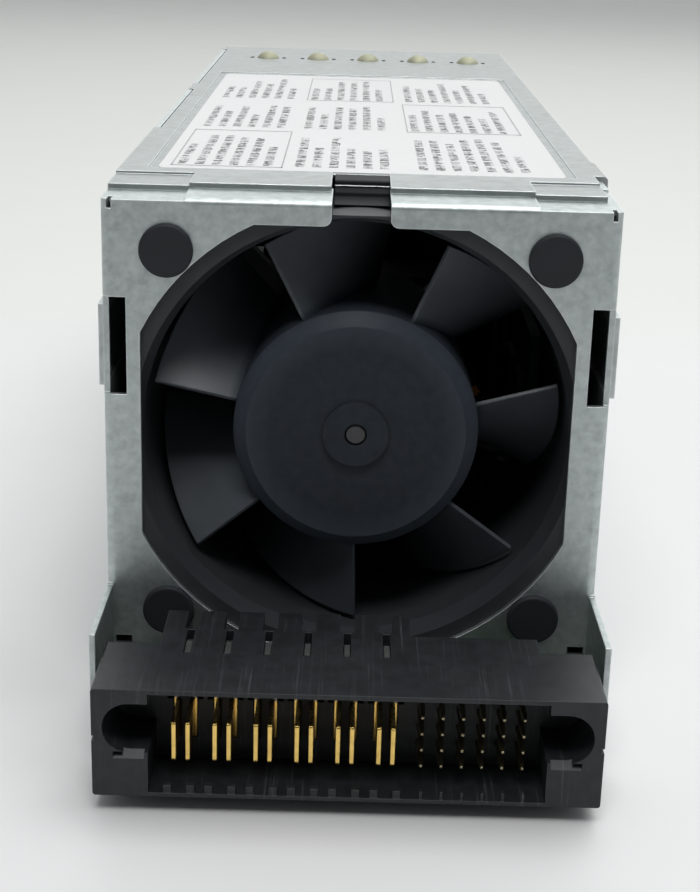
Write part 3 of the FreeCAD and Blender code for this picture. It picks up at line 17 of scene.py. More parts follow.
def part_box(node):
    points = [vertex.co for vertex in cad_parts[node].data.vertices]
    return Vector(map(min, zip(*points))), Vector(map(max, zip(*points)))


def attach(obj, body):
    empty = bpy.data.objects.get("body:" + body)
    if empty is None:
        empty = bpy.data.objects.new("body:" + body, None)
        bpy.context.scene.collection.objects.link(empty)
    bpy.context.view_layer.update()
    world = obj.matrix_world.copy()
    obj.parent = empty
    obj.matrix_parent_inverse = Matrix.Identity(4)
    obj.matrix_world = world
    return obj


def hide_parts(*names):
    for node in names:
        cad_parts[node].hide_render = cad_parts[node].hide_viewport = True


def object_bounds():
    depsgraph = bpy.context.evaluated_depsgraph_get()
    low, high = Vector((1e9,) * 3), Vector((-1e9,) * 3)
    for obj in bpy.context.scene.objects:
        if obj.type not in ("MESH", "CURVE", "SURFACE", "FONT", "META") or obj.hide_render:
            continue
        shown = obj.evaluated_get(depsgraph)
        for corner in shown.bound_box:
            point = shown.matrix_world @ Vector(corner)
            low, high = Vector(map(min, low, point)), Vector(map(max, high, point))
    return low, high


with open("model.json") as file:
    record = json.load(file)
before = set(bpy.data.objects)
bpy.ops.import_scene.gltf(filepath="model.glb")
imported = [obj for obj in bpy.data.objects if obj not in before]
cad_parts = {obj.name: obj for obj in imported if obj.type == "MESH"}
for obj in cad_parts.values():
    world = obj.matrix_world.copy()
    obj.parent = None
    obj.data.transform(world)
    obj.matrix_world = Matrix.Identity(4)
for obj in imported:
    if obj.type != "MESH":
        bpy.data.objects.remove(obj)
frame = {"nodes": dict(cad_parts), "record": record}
CAD_LOW, CAD_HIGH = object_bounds()
NODES = frame["nodes"]
print("overall", [round(high - low, 4) for low, high in zip(CAD_LOW, CAD_HIGH)])

# %% [markdown]
# ## Camera
# The supply stands on a table and is seen from its connector end, a little from above, from about
# forty centimetres away. A long lens keeps the narrow box from looking like a wedge. The camera's axes
# are worked out from three angles, so that each can be changed by itself: yaw, pitch and roll. Built
# from its axes, a camera has no gimbal surprises, and a small roll stays a roll.

# %% Camera
def aim(location, yaw, pitch, roll):
    """The camera's place and axes, from a heading, a downward tilt and a lean."""
    forward = Vector((sin(yaw) * cos(pitch), cos(yaw) * cos(pitch), -sin(pitch)))
    right = Vector((cos(yaw), -sin(yaw), 0))
    up = right.cross(forward)
    leant_right = right * cos(roll) + up * sin(roll)
    leant_up = up * cos(roll) - right * sin(roll)
    axes = Matrix((leant_right, leant_up, -forward)).transposed()
    return Matrix.Translation(location) @ axes.to_4x4()


scene = bpy.context.scene
camera_data = bpy.data.cameras.new("camera")
camera_data.lens = 67.57
camera_data.sensor_width = 36
camera_data.clip_start = 0.01
camera_data.dof.use_dof = False
camera = bpy.data.objects.new("camera", camera_data)
scene.collection.objects.link(camera)
camera.matrix_world = aim((-0.00114, -0.3143, 0.1093), yaw=0.002, pitch=0.320, roll=0.028)
scene.camera = camera
scene.view_settings.view_transform = "Standard"
print("camera at", [round(value, 4) for value in camera.location])

# %% [markdown]
# ## Node helpers
# A material is a small graph of nodes. The same few moves come back in every finish: look up a pattern
# at a point, turn it into a colour or a number, and roughen or soften the surface. Written once as
# helpers, they leave each finish short enough to read as a description of the stuff itself.

# %% Node helpers
def grey(level):
    return (level, level, level, 1)


def scaled(colour, factor):
    """The same colour made darker or lighter, never past white."""
    return tuple(min(1, factor * channel) for channel in colour[:3]) + (1,)


class Finish:
    """One material and the moves that build its graph."""

    def __init__(self, name):
        self.material = bpy.data.materials.new(name)
        self.material.use_nodes = True
        self.tree = self.material.node_tree
        self.surface = self.tree.nodes["Principled BSDF"]
        self.place = self.node("ShaderNodeTexCoord").outputs["Object"]

    def node(self, kind, **settings):
        made = self.tree.nodes.new(kind)
        for name, value in settings.items():
            setattr(made, name, value)
        return made

    def link(self, source, target):
        self.tree.links.new(source, target)

    def set(self, **sockets):
        for name, value in sockets.items():
            self.surface.inputs[name.replace("_", " ")].default_value = value
        return self

    def stretched(self, scale):
        """The object's own coordinates, scaled by one number an axis."""
        mapping = self.node("ShaderNodeMapping")
        mapping.inputs["Scale"].default_value = scale
        self.link(self.place, mapping.inputs["Vector"])
        return mapping.outputs["Vector"]

    def noise(self, scale, detail=4, roughness=0.55, stretch=None):
        made = self.node("ShaderNodeTexNoise")
        made.inputs["Scale"].default_value = scale
        made.inputs["Detail"].default_value = detail
        made.inputs["Roughness"].default_value = roughness
        self.link(self.stretched(stretch) if stretch else self.place, made.inputs["Vector"])
        return made.outputs["Fac"]

    def cells(self, scale):
        """Crystals: every cell has a random colour of its own."""
        made = self.node("ShaderNodeTexVoronoi")
        made.inputs["Scale"].default_value = scale
        self.link(self.place, made.inputs["Vector"])
        return made.outputs["Color"]

    def ramp(self, source, *stops):
        """Turn a number into a colour through stops of (position, colour)."""
        made = self.node("ShaderNodeValToRGB")
        first, last = made.color_ramp.elements
        first.position, first.color = stops[0]
        last.position, last.color = stops[-1]
        for position, colour in stops[1:-1]:
            made.color_ramp.elements.new(position).color = colour
        self.link(source, made.inputs["Fac"])
        return made.outputs["Color"]

    def span(self, source, low, high, start=0.3, end=0.7):
        """Turn a pattern's value into a number between low and high."""
        made = self.node("ShaderNodeMapRange")
        for name, value in (("From Min", start), ("From Max", end), ("To Min", low), ("To Max", high)):
            made.inputs[name].default_value = value
        self.link(source, made.inputs["Value"])
        return made.outputs["Result"]

    def mix(self, factor, under, over):
        made = self.node("ShaderNodeMix", data_type="RGBA")
        made.clamp_factor = True
        for value, socket in ((factor, "Factor"), (under, "A"), (over, "B")):
            target = [item for item in made.inputs if item.name == socket
                      and item.type == ("VALUE" if socket == "Factor" else "RGBA")][0]
            if isinstance(value, bpy.types.NodeSocket):
                self.link(value, target)
            else:
                target.default_value = value
        return [item for item in made.outputs if item.type == "RGBA"][0]

    def edges(self, radius):
        """Near 1 within radius of a corner or cut edge, 0 on the flats."""
        soft = self.node("ShaderNodeBevel", samples=6)
        soft.inputs["Radius"].default_value = radius
        flat = self.node("ShaderNodeNewGeometry").outputs["Normal"]
        dot = self.node("ShaderNodeVectorMath", operation="DOT_PRODUCT")
        self.link(soft.outputs["Normal"], dot.inputs[0])
        self.link(flat, dot.inputs[1])
        return self.span(dot.outputs["Value"], 1, 0, start=0.75, end=0.98)

    def soften(self, radius, pattern, strength, distance):
        """Round every edge by radius, and press a pattern into the surface."""
        soft = self.node("ShaderNodeBevel", samples=6)
        soft.inputs["Radius"].default_value = radius
        bump = self.node("ShaderNodeBump")
        bump.inputs["Strength"].default_value = strength
        bump.inputs["Distance"].default_value = distance
        self.link(pattern, bump.inputs["Height"])
        self.link(soft.outputs["Normal"], bump.inputs["Normal"])
        self.link(bump.outputs["Normal"], self.surface.inputs["Normal"])

    def colour(self, source):
        self.link(source, self.surface.inputs["Base Color"])

    def rough(self, source):
        self.link(source, self.surface.inputs["Roughness"])


# %% [markdown]
# ## Table and light
# The supply stands on a pale table with a slightly greyer wall behind it. The table and the wall are one
# large plane whose colour changes with distance, so that there's no seam. A large lamp overhead keeps
# the shadow under the box soft, a smaller one in front opens up the fan, and a third lights the wall.
# The room itself is dim behind the viewer and pale at the far end: metal needs something to mirror.

# %% Table and light
TABLE_SIZE = 14
UNDER_FEET = 0.0003


def flat_plane(name, size, height):
    shape = bmesh.new()
    bmesh.ops.create_grid(shape, x_segments=1, y_segments=1, size=size / 2)
    mesh = bpy.data.meshes.new(name)
    shape.to_mesh(mesh)
    shape.free()
    plane = bpy.data.objects.new(name, mesh)
    plane.location.z = height
    scene.collection.objects.link(plane)
    return plane


table_finish = Finish("table_and_wall")
split = table_finish.node("ShaderNodeSeparateXYZ")
table_finish.link(table_finish.place, split.inputs["Vector"])
along = table_finish.span(split.outputs["Y"], 0, 1, start=-0.65, end=0.35)
# Towards the viewer the table is darker, down to 0.46 grey at the near end; it dims what the steel face
# mirrors.
table_finish.colour(table_finish.ramp(along, (0.02, grey(0.46)), (0.42, grey(0.70)), (0.735, grey(0.72)),
                                      (0.80, (0.70, 0.71, 0.682, 1))))
table_finish.rough(table_finish.span(table_finish.noise(30), 0.5, 0.6))
table = flat_plane("table", TABLE_SIZE, CAD_LOW.z - UNDER_FEET)
table.data.materials.append(table_finish.material)

world = bpy.data.worlds.new("room")
world.use_nodes = True
room = world.node_tree
heading = room.nodes.new("ShaderNodeTexCoord")
parts = room.nodes.new("ShaderNodeSeparateXYZ")
fade = room.nodes.new("ShaderNodeValToRGB")
half_way = room.nodes.new("ShaderNodeMapRange")
half_way.inputs["From Min"].default_value = -1
DIM_END, MIDDLE, PALE_END = (0.07, 0.074, 0.078, 1), (0.36, 0.37, 0.38, 1), (0.86, 0.88, 0.88, 1)
fade.color_ramp.elements[0].color = DIM_END
fade.color_ramp.elements[1].color = PALE_END
fade.color_ramp.elements.new(0.5).color = MIDDLE
room.links.new(heading.outputs["Generated"], parts.inputs["Vector"])
room.links.new(parts.outputs["Y"], half_way.inputs["Value"])
room.links.new(half_way.outputs["Result"], fade.inputs["Fac"])
room.links.new(fade.outputs["Color"], room.nodes["Background"].inputs["Color"])
scene.world = world


def soft_lamp(name, place, target, size, power):
    data = bpy.data.lights.new(name, "AREA")
    data.shape = "RECTANGLE"
    data.size, data.size_y = size
    data.energy = power
    lamp = bpy.data.objects.new(name, data)
    lamp.location = place
    lamp.rotation_euler = (Vector(target) - Vector(place)).to_track_quat("-Z", "Y").to_euler()
    scene.collection.objects.link(lamp)


soft_lamp("ceiling_light", (0.28, 0.12, 1.05), (0, -0.05, 0), (0.8, 0.6), 5.6)
soft_lamp("front_light", (-0.02, -0.50, 0.85), (-0.01, -0.10, 0.03), (0.40, 0.30), 3.6)
soft_lamp("wall_light", (0.15, 0.85, 0.75), (0, 0.05, 0.03), (1.2, 0.6), 2.2)
print("table at", round(table.location.z, 4))

# %% [markdown]
# ## Bare zinc-plated steel
# The tray is galvanised sheet: zinc that froze in small crystals, each mirroring the room a little
# differently, dulled by handling. Flat grey paint would miss that. Voronoi cells give the crystals,
# a wide noise gives the dull patches, and both move colour and roughness together. Every sharp edge
# that a bevel lookup finds, without any extra mesh, is painted as a thin bright line: bare steel where
# the sheet is cut, and a painted highlight along the edges.

# %% Bare zinc-plated steel
EDGE_STEEL_AND_HIGHLIGHT = (0.80, 0.84, 0.84, 1)


def zinc(name, dark, light, rough, spangle):
    made = Finish(name)
    crystals = made.noise(spangle, detail=2, roughness=0.6)
    stains = made.noise(75, detail=5, roughness=0.6)
    tint = made.mix(0.30, made.ramp(crystals, (0.32, dark), (0.68, light)),
                    made.ramp(stains, (0.30, dark), (0.72, light)))
    glint = made.cells(spangle * 0.7)
    split = made.node("ShaderNodeSeparateColor")
    made.link(glint, split.inputs["Color"])
    tint = made.mix(made.span(split.outputs["Red"], 0, 0.28, start=0, end=1), tint, light)
    # Painted highlight: every edge that the bevel finds is mixed to pale steel; at cut edges this is also
    # the bare steel.
    made.colour(made.mix(made.edges(0.00035), tint, EDGE_STEEL_AND_HIGHLIGHT))
    made.rough(made.span(stains, rough - 0.04, rough + 0.04))
    made.set(Metallic=1)
    made.soften(0.00025, crystals, strength=0.12, distance=0.00005)
    return made.material


FINISH = {
    "zinc_steel": zinc("zinc_steel", (0.38, 0.42, 0.415, 1), (0.58, 0.63, 0.62, 1), 0.48, 700),
    "cover_steel": zinc("cover_steel", (0.31, 0.33, 0.325, 1), (0.42, 0.445, 0.44, 1), 0.42, 480),
}
print("zinc finishes:", ", ".join(FINISH))

# %% [markdown]
# ## Plain metals and plastics
# The rest of the pieces are ordinary stuff: turned steel, spring wire, moulded plastic, rubber, copper.
# Each still has some life in it: a faint change of tone, a roughness that wanders and a softened edge.
# One function covers them, because they differ in numbers and not in kind.

# %% Plain metals and plastics
VARY = 0.12
GRAIN = 350


def plain(name, colour, rough, metal=0, shine=0.5):
    """A moulded or machined finish: two close tones, wandering roughness, soft edges."""
    made = Finish(name)
    pattern = made.noise(GRAIN, detail=5)
    wide = made.noise(GRAIN * 0.12, detail=3)
    under, over = scaled(colour, 1 - VARY), scaled(colour, 1 + VARY)
    made.colour(made.mix(0.5, made.ramp(pattern, (0.35, under), (0.65, over)),
                         made.ramp(wide, (0.35, under), (0.65, over))))
    made.rough(made.span(wide, max(0.05, rough - 0.06), rough + 0.06))
    made.set(Metallic=metal, Specular_IOR_Level=shine)
    made.soften(0.0002, pattern, strength=0.1, distance=0.00004)
    return made.material


PLAIN = {
    "screw_steel": ((0.52, 0.53, 0.53), 0.33, 1),
    "spring_steel": ((0.42, 0.42, 0.43), 0.28, 1),
    "motor_steel": ((0.30, 0.31, 0.32), 0.42, 1),
    "shaft_steel": ((0.075, 0.075, 0.078), 0.42, 1),
    "button_metal": ((0.47, 0.47, 0.36), 0.72, 1),
    # Painted shade: the stake bumps are near black to stand in for the shade inside the punched dents.
    "painted_stake_shade": ((0.05, 0.05, 0.05), 0.6, 0, 0.2),
    "print_grey": ((0.34, 0.345, 0.35), 0.55, 0, 0.3),
    "fan_plastic": ((0.030, 0.034, 0.037), 0.50, 0, 0.3),
    "clip_plastic": ((0.016, 0.018, 0.019), 0.60, 0, 0.15),
    "black_rubber": ((0.016, 0.019, 0.022), 0.62, 0, 0.3),
    "pin_gold": ((0.36, 0.32, 0.20), 0.36, 1),
    "board_green": ((0.018, 0.11, 0.045), 0.36, 0),
    "insulation_film": ((0.70, 0.66, 0.48), 0.35, 0),
    "can_sleeve": ((0.02, 0.028, 0.06), 0.30, 0),
    "film_box": ((0.50, 0.30, 0.05), 0.35, 0),
    "ferrite": ((0.035, 0.036, 0.038), 0.60, 0),
    "copper_wire": ((0.62, 0.25, 0.09), 0.26, 1),
    "winding_tape": ((0.62, 0.46, 0.08), 0.38, 0),
    "heatsink_metal": ((0.62, 0.63, 0.64), 0.38, 1),
    "package_black": ((0.014, 0.014, 0.015), 0.50, 0),
    "inlet_plastic": ((0.013, 0.013, 0.014), 0.36, 0),
    "inlet_metal": ((0.66, 0.66, 0.64), 0.25, 1),
    "light_pipe": ((0.70, 0.74, 0.72), 0.25, 0),
    "handle_plastic": ((0.016, 0.016, 0.018), 0.45, 0),
    "lever_plastic": ((0.30, 0.07, 0.02), 0.42, 0),
}
for name, numbers in PLAIN.items():
    FINISH[name] = plain(name, *numbers)
print(len(FINISH), "finishes so far")

# %% [markdown]
# ## Connector plastic
# The connector is glass-filled plastic, nearly black and slightly blue. Plugging in and out has drawn
# fine pale lines along its top, front to back. Noise that is squeezed hard across and stretched along
# gives such lines, and a threshold keeps only the sharpest of them.

# %% Connector plastic
def scratched_plastic(name, colour, scratch):
    made = Finish(name)
    pattern = made.noise(520, detail=5)
    lines = made.noise(1, detail=4, roughness=0.7, stretch=(2600, 42, 60))
    patches = made.noise(55, detail=3)
    tint = made.ramp(pattern, (0.35, scaled(colour, 0.8)), (0.65, scaled(colour, 1.25)))
    drawn = made.node("ShaderNodeMath", operation="MULTIPLY")
    made.link(made.span(lines, 0, 1, start=0.56, end=0.72), drawn.inputs[0])
    made.link(made.span(patches, 0, 0.75, start=0.38, end=0.62), drawn.inputs[1])
    tint = made.mix(drawn.outputs["Value"], tint, scratch)
    made.colour(made.mix(made.edges(0.00025), tint, scaled(colour, 2.4)))
    made.rough(made.span(patches, 0.38, 0.52))
    made.set(Specular_IOR_Level=0.4)
    made.soften(0.00018, pattern, strength=0.12, distance=0.00004)
    return made.material


FINISH["connector_plastic"] = scratched_plastic("connector_plastic", (0.015, 0.017, 0.019),
                                                (0.085, 0.092, 0.10, 1))

# %% [markdown]
# ## Blade metal
# Only the part of a power blade that a mating contact rubs is plated with gold, because gold is dear.
# Above it the copper is tinned and has gone dull. One finish asks the height of a point and changes
# from gold to tin within a third of a millimetre, with a little noise so that the line isn't ruled.

# %% Blade metal
def part_plated(name, gold, tin, line_height):
    made = Finish(name)
    split = made.node("ShaderNodeSeparateXYZ")
    made.link(made.place, split.inputs["Vector"])
    wander = made.node("ShaderNodeMath", operation="ADD")
    made.link(split.outputs["Z"], wander.inputs[0])
    made.link(made.span(made.noise(400), -0.0002, 0.0002), wander.inputs[1])
    tinned = made.span(wander.outputs["Value"], 0, 1, line_height - 0.00015, line_height + 0.00015)
    rubbed = made.noise(900, detail=4, stretch=(1, 0.1, 1))
    plated = made.ramp(rubbed, (0.35, scaled(gold, 0.82)), (0.65, gold))
    dull = made.ramp(made.noise(500, detail=4), (0.35, scaled(tin, 0.75)), (0.65, tin))
    made.colour(made.mix(tinned, plated, dull))
    made.rough(made.span(tinned, 0.24, 0.48, start=0, end=1))
    made.set(Metallic=1)
    made.soften(0.0002, rubbed, strength=0.08, distance=0.00003)
    return made.material


PLATED_UP_TO = 0.0109
FINISH["gold_contact"] = part_plated("gold_contact", (0.95, 0.66, 0.20, 1), (0.34, 0.345, 0.34, 1),
                                     PLATED_UP_TO)

# %% [markdown]
# ## Fan plastic
# The fan wheel is one black moulding, but its hub is blasted dull and its blades keep the mould's
# smooth skin. The blades are painted greyer than the hub: painted light for the light that the blades
# catch more than the hub does, mottled by a noise. Both live in one piece, so the finish asks how far a
# point lies from the axle: inside the hub's radius it's dull and dark, and outside it's greyer and
# smoother. Two faint pale rings are painted highlights on the rims of the hub and its boss.
# It's measured in the wheel's own space, so it turns with the wheel.

# %% Fan plastic
def wheel_plastic(name, hub, blade, hub_radius, boss_radius, axle_height):
    made = Finish(name)
    middle = made.node("ShaderNodeMapping")
    middle.inputs["Location"].default_value = (0, 0, -axle_height)
    middle.inputs["Scale"].default_value = (1, 0, 1)
    made.link(made.place, middle.inputs["Vector"])
    reach = made.node("ShaderNodeVectorMath", operation="LENGTH")
    made.link(middle.outputs["Vector"], reach.inputs[0])
    outside = made.span(reach.outputs["Value"], 0, 1, start=hub_radius, end=hub_radius + 0.0012)
    grain = made.noise(700, detail=5)
    blade_mottle = made.noise(90, detail=4)
    dark = made.ramp(grain, (0.35, hub), (0.65, scaled(hub, 1.3)))
    # Painted light: the blades get a paler copy of the black, standing in for the light that they catch
    # more than the hub.
    painted_lit_blades = made.ramp(blade_mottle, (0.35, blade), (0.68, scaled(blade, 1.4)))
    # Painted highlights: two pale rings on the rims of the boss and the hub, five times as light as the
    # hub.
    rings = made.ramp(reach.outputs["Value"], (0, grey(0)), (boss_radius - 0.0007, grey(0)),
                      (boss_radius, grey(0.5)), (boss_radius + 0.0006, grey(0)),
                      (hub_radius - 0.0012, grey(0)), (hub_radius - 0.0005, grey(0.8)),
                      (hub_radius + 0.0001, grey(0)))
    made.colour(made.mix(rings, made.mix(outside, dark, painted_lit_blades), scaled(hub, 5)))
    made.rough(made.span(outside, 0.46, 0.44, start=0, end=1))
    made.link(made.span(outside, 0.15, 0.45, start=0, end=1), made.surface.inputs["Specular IOR Level"])
    made.soften(0.0003, grain, strength=0.1, distance=0.00004)
    return made.material


HUB_RADIUS, BOSS_RADIUS = 0.0166, 0.0062
wheel_low, wheel_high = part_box("fan_rotor")
axle_height = (wheel_low.z + wheel_high.z) / 2
# The second colour is the blades' paler, painted lit tone.
FINISH["rotor_plastic"] = wheel_plastic("rotor_plastic", (0.018, 0.022, 0.028, 1), (0.050, 0.057, 0.065, 1),
                                        HUB_RADIUS, BOSS_RADIUS, axle_height)
print("fan axle at", round(axle_height, 4))

# %% [markdown]
# ## Label film
# The rating label is a satin white film over most of the cover. Two noises, one fine and one wide, keep
# it from being one flat white, and it has only a faint sheen, so that it's bright without glaring.

# %% Label film
def label_film(name):
    made = Finish(name)
    paper = made.noise(900, detail=3)
    wide = made.noise(25, detail=4)
    made.colour(made.mix(0.5, made.ramp(paper, (0.3, grey(0.59)), (0.7, grey(0.63))),
                         made.ramp(wide, (0.3, grey(0.585)), (0.7, grey(0.635)))))
    made.rough(made.span(wide, 0.38, 0.5))
    made.soften(0.00005, paper, strength=0.03, distance=0.00002)
    return made.material


FINISH["label_film"] = label_film("label_film")
print(len(FINISH), "finishes in all")

# %% [markdown]
# ## Dress every node
# The record names the material slot of each node, so the finishes go on by slot. Nothing is left in the
# flat colour that it came with, and a node that's added later picks up its finish by the same name. The
# signal pins share a slot with the power blades but have a thinner, paler plating of their own.

# %% Dress every node
OWN_FINISH = {"signal_pins": "pin_gold"}
dressed = 0
for piece in frame["record"]["subparts"]:
    body = NODES[piece["node"]]
    for slot in body.material_slots:
        slot.material = FINISH[OWN_FINISH.get(piece["node"], piece["material_slot"])]
        dressed += 1
print("dressed", dressed, "slots")

# %% [markdown]
# ## Mesh helpers
# The small pieces that the construction leaves out are made straight as meshes. Two helpers serve them
# all: one turns a profile about an upright axis, as a lathe would, and one makes a piece of the finished
# mesh, gives it its finish and says that it rides on the supply's own body.

# %% Mesh helpers
MM = 0.001


def lathe(shape, profile, centre, steps=40):
    """Turn (radius, height) points about the upright axis; a radius of 0 closes the end."""
    rings = []
    for radius, height in profile:
        count = 1 if radius == 0 else steps
        rings.append([shape.verts.new(Vector(centre) + Vector((
            radius * cos(2 * pi * step / count), radius * sin(2 * pi * step / count), height)))
            for step in range(count)])
    for below, above in zip(rings, rings[1:]):
        for step in range(steps):
            after = (step + 1) % steps
            corners = list(dict.fromkeys([below[step % len(below)], below[after % len(below)],
                                          above[after % len(above)], above[step % len(above)]]))
            if len(corners) > 2:
                shape.faces.new(corners).smooth = True


def add_piece(name, shape, finish, replaces=None):
    """Turn a bmesh into a piece with its finish, riding on the supply."""
    bmesh.ops.recalc_face_normals(shape, faces=shape.faces)
    mesh = bpy.data.meshes.new(name)
    shape.to_mesh(mesh)
    shape.free()
    piece = bpy.data.objects.new(name, mesh)
    scene.collection.objects.link(piece)
    piece.data.materials.append(FINISH[finish])
    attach(piece, "supply")
    if replaces:
        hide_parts(replaces)
    print(name, len(mesh.polygons), "faces")


# %% [markdown]
# ## Domed buttons and their staking marks
# A row of five soft metal buttons stands across the back of the cover, each pushed through a hole and
# staked on both sides with a punch. They are domed, so that they press against the bay's roof. A turned
# profile gives the dome. The punched stakes are dents, and a small bump painted near black on each side
# stands in for them: painted shade of the dents. Both profiles count their heights from the floor of the
# label's recess, 0.3 mm below the sheet that the buttons stand on.

# %% Domed buttons and their staking marks
low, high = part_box("ground_buttons")
BUTTON_RADIUS = (high.y - low.y) / 2
BUTTONS = 5
STAKE_SIDE = 3.6 * MM
RECESS_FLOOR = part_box("rating_label")[0].z
DOME = [(0, 1.80 * MM), (0.5 * MM, 1.76 * MM), (1.1 * MM, 1.60 * MM), (1.7 * MM, 1.26 * MM),
        (2.2 * MM, 0.80 * MM), (2.5 * MM, 0.36 * MM), (BUTTON_RADIUS, -0.05 * MM),
        (BUTTON_RADIUS, -0.9 * MM), (0, -0.9 * MM)]
STAKE = [(0, 0.50 * MM), (0.28 * MM, 0.48 * MM), (0.50 * MM, 0.34 * MM), (0.64 * MM, 0.12 * MM),
         (0.68 * MM, -0.05 * MM), (0, -0.05 * MM)]
domes = bmesh.new()
marks = bmesh.new()
for step in range(BUTTONS):
    across = low.x + BUTTON_RADIUS + step * (high.x - low.x - 2 * BUTTON_RADIUS) / (BUTTONS - 1)
    lathe(domes, DOME, (across, (low.y + high.y) / 2, RECESS_FLOOR))
    for side in (-1, 1):
        lathe(marks, STAKE, (across + side * STAKE_SIDE, (low.y + high.y) / 2, RECESS_FLOOR), steps=20)
add_piece("button_domes", domes, "button_metal", replaces="ground_buttons")
add_piece("stake_shade_bumps", marks, "painted_stake_shade")

# %% [markdown]
# ## Clip in the cover's notch
# A black saddle of the fan's frame fills the notch in the front edge of the cover. It has a flat ledge
# at the back, a groove, a ridge with a slanted front, and an apron that runs down to the fan. One
# outline seen from the side, pulled across, gives all of them, and a fine bevel catches the light. A thin
# steel rim lies along the top of the ridge.

# %% Clip in the cover's notch
low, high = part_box("fan_clip")
SADDLE_SPARE = 0.2 * MM
SADDLE_OUTLINE = [(-84.3, 70.05), (-84.3, 72.35), (-88.9, 72.35), (-89.2, 72.20), (-89.25, 71.50),
                  (-90.6, 71.45), (-90.75, 71.85), (-91.0, 71.92), (-91.75, 71.10), (-91.80, 70.60),
                  (-95.45, 70.15), (-95.45, 70.05)]
RIM_DEEP, RIM_THICK, RIM_STATION, RIM_HEIGHT = 0.35 * MM, 0.14 * MM, -91.1 * MM, 71.93 * MM


def fine_bevel(shape):
    bmesh.ops.bevel(shape, geom=shape.edges[:], offset=0.05 * MM, segments=2, affect="EDGES", profile=0.5)


saddle = bmesh.new()
ends = [[saddle.verts.new((across, y * MM, z * MM)) for y, z in SADDLE_OUTLINE]
        for across in (low.x - SADDLE_SPARE, high.x + SADDLE_SPARE)]
saddle.faces.new(ends[0])
saddle.faces.new(reversed(ends[1]))
for index in range(len(SADDLE_OUTLINE)):
    after = (index + 1) % len(SADDLE_OUTLINE)
    saddle.faces.new([ends[0][index], ends[1][index], ends[1][after], ends[0][after]])
fine_bevel(saddle)
rim = bmesh.new()
bmesh.ops.create_cube(rim, size=1)
bmesh.ops.scale(rim, vec=(high.x - low.x + 2 * SADDLE_SPARE, RIM_DEEP, RIM_THICK), verts=rim.verts)
bmesh.ops.translate(rim, vec=((low.x + high.x) / 2, RIM_STATION, RIM_HEIGHT), verts=rim.verts)
fine_bevel(rim)
add_piece("clip_rim", rim, "spring_steel")
add_piece("clip_saddle", saddle, "clip_plastic", replaces="fan_clip")

# %% [markdown]
# ## Cross-recess screws
# Four pan-head screws hold the rear panel. A driver's cross is what tells a screw from a rivet, so each
# head is a fine polar net of points whose middle is pressed down along two arms. Moving points is
# simpler here than cutting, and leaves clean rings of faces round the dome.

# %% Cross-recess screws
RINGS, STEPS = 16, 64
ARM_HALF, ARM_LONG, ARM_DEEP, DOME_FALL = 0.15, 0.56, 0.55, 0.55


def cross_head(shape, centre, radius, height):
    """A domed head facing +Y with a cross pressed into it; its shares are of radius and height."""
    net = []
    for ring in range(RINGS + 1):
        reach = radius * ring / RINGS
        count = STEPS if ring else 1
        row = []
        for step in range(count):
            x, z = reach * cos(2 * pi * step / count), reach * sin(2 * pi * step / count)
            rise = height * (1 - DOME_FALL * (reach / radius) ** 4)
            arms = sorted((abs(x), abs(z)))
            if arms[0] < ARM_HALF * radius and arms[1] < ARM_LONG * radius:
                rise -= ARM_DEEP * height
            row.append(shape.verts.new((centre[0] + x, centre[1] + rise, centre[2] + z)))
        net.append(row)
    net.append([shape.verts.new((centre[0] + radius * cos(2 * pi * step / STEPS), centre[1],
                                 centre[2] + radius * sin(2 * pi * step / STEPS)))
                for step in range(STEPS)])
    for inner, outer in zip(net, net[1:]):
        for step in range(STEPS):
            after = (step + 1) % STEPS
            corners = [inner[step % len(inner)], inner[after % len(inner)], outer[after], outer[step]]
            shape.faces.new(list(dict.fromkeys(corners))).smooth = True
    shape.faces.new(net[-1])


low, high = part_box("rear_panel_screws")
HEAD_RADIUS = 2.6 * MM
HEAD_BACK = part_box("rear_panel")[1].y
heads = bmesh.new()
for across in (low.x + HEAD_RADIUS, high.x - HEAD_RADIUS):
    for up in (low.z + HEAD_RADIUS, high.z - HEAD_RADIUS):
        cross_head(heads, (across, HEAD_BACK, up), HEAD_RADIUS, high.y - HEAD_BACK)
add_piece("panel_screw_heads", heads, "screw_steel", replaces="rear_panel_screws")

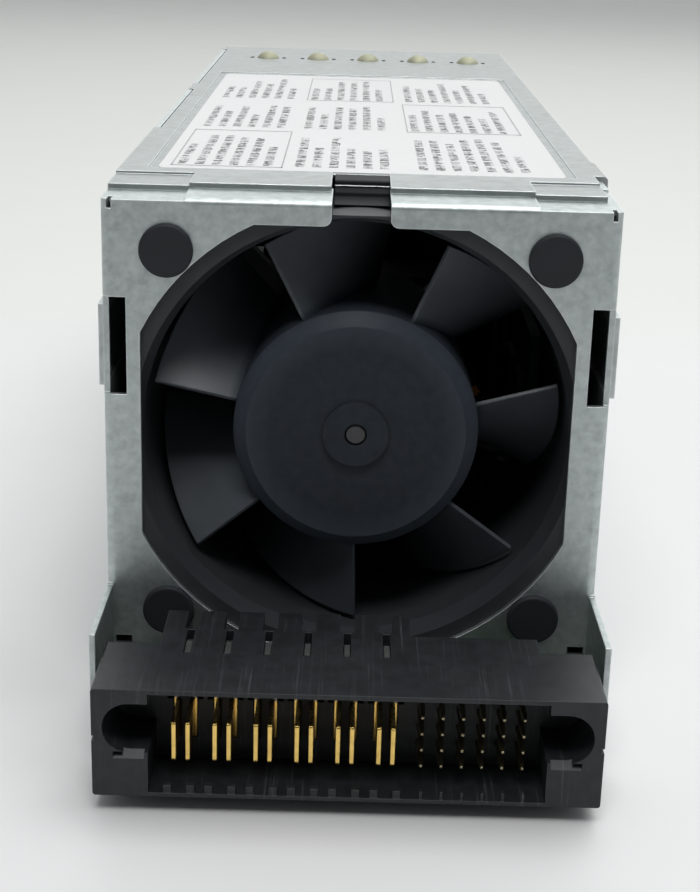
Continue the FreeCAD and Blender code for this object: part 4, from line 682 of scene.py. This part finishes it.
# %% [markdown]
# ## Print on the label
# The label is printed in grey: nine blocks of small type on a plain grid, three of them framed. No words
# are drawn here. Each line is a row of little strokes grouped as type would be, which reads as printing
# from arm's length. The strips are laid a few hundredths of a millimetre above the film, and the random
# numbers have a fixed seed, so that the label is the same each time.

# %% Print on the label
SEED = 8
TYPE_HEIGHT = 1.3
RULE = 0.2
dice = random.Random(SEED)
PRINT_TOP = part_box("rating_label")[1].z + 0.03 * MM
inked = bmesh.new()


def strip(left, front, right, back):
    """One flat inked rectangle, its corners in millimetres."""
    corners = [(left, front), (right, front), (right, back), (left, back)]
    inked.faces.new([inked.verts.new((x * MM, y * MM, PRINT_TOP)) for x, y in corners])


def type_line(left, front, back):
    """A line of make-believe type that runs away from the front edge."""
    along = front
    while along < back - 0.3:
        for _ in range(dice.randint(2, 7)):
            step = TYPE_HEIGHT * dice.uniform(0.48, 0.66)
            if along + step > back:
                break
            strip(left, along, left + TYPE_HEIGHT * dice.choice((1, 1, 0.72)), along + step * 0.25)
            if dice.random() < 0.75:
                strip(left + TYPE_HEIGHT * dice.choice((0, 0.42, 0.84)), along,
                      left + TYPE_HEIGHT * dice.choice((0.16, 0.58, 1)), along + step * 0.78)
            along += step
        along += TYPE_HEIGHT * 0.6


def ruled_frame(left, front, right, back):
    """A box drawn with four lines; the two across the label are thicker, so that they show edge on."""
    strip(left, front, right, front + RULE * 2)
    strip(left, back - RULE * 2, right, back)
    strip(left, front, left + RULE, back)
    strip(right - RULE, front, right, back)


FIELD_STARTS = (-79, -39, 1)
FIELD_LENGTH = 34
BLOCK_EDGES = ((-26, -12), (-9.5, 5), (8, 25))
LINE_PITCH = 2.4
for block, (left_edge, right_edge) in enumerate(BLOCK_EDGES):
    for field, front in enumerate(FIELD_STARTS):
        if (block + field) % 3 == 0:
            ruled_frame(left_edge - 0.8, front - 1.5, right_edge + 0.8, front + FIELD_LENGTH + 1.5)
        left = left_edge
        while left + TYPE_HEIGHT <= right_edge:
            type_line(left, front, front + FIELD_LENGTH * dice.uniform(0.45, 1))
            left += LINE_PITCH
add_piece("label_print", inked, "print_grey")
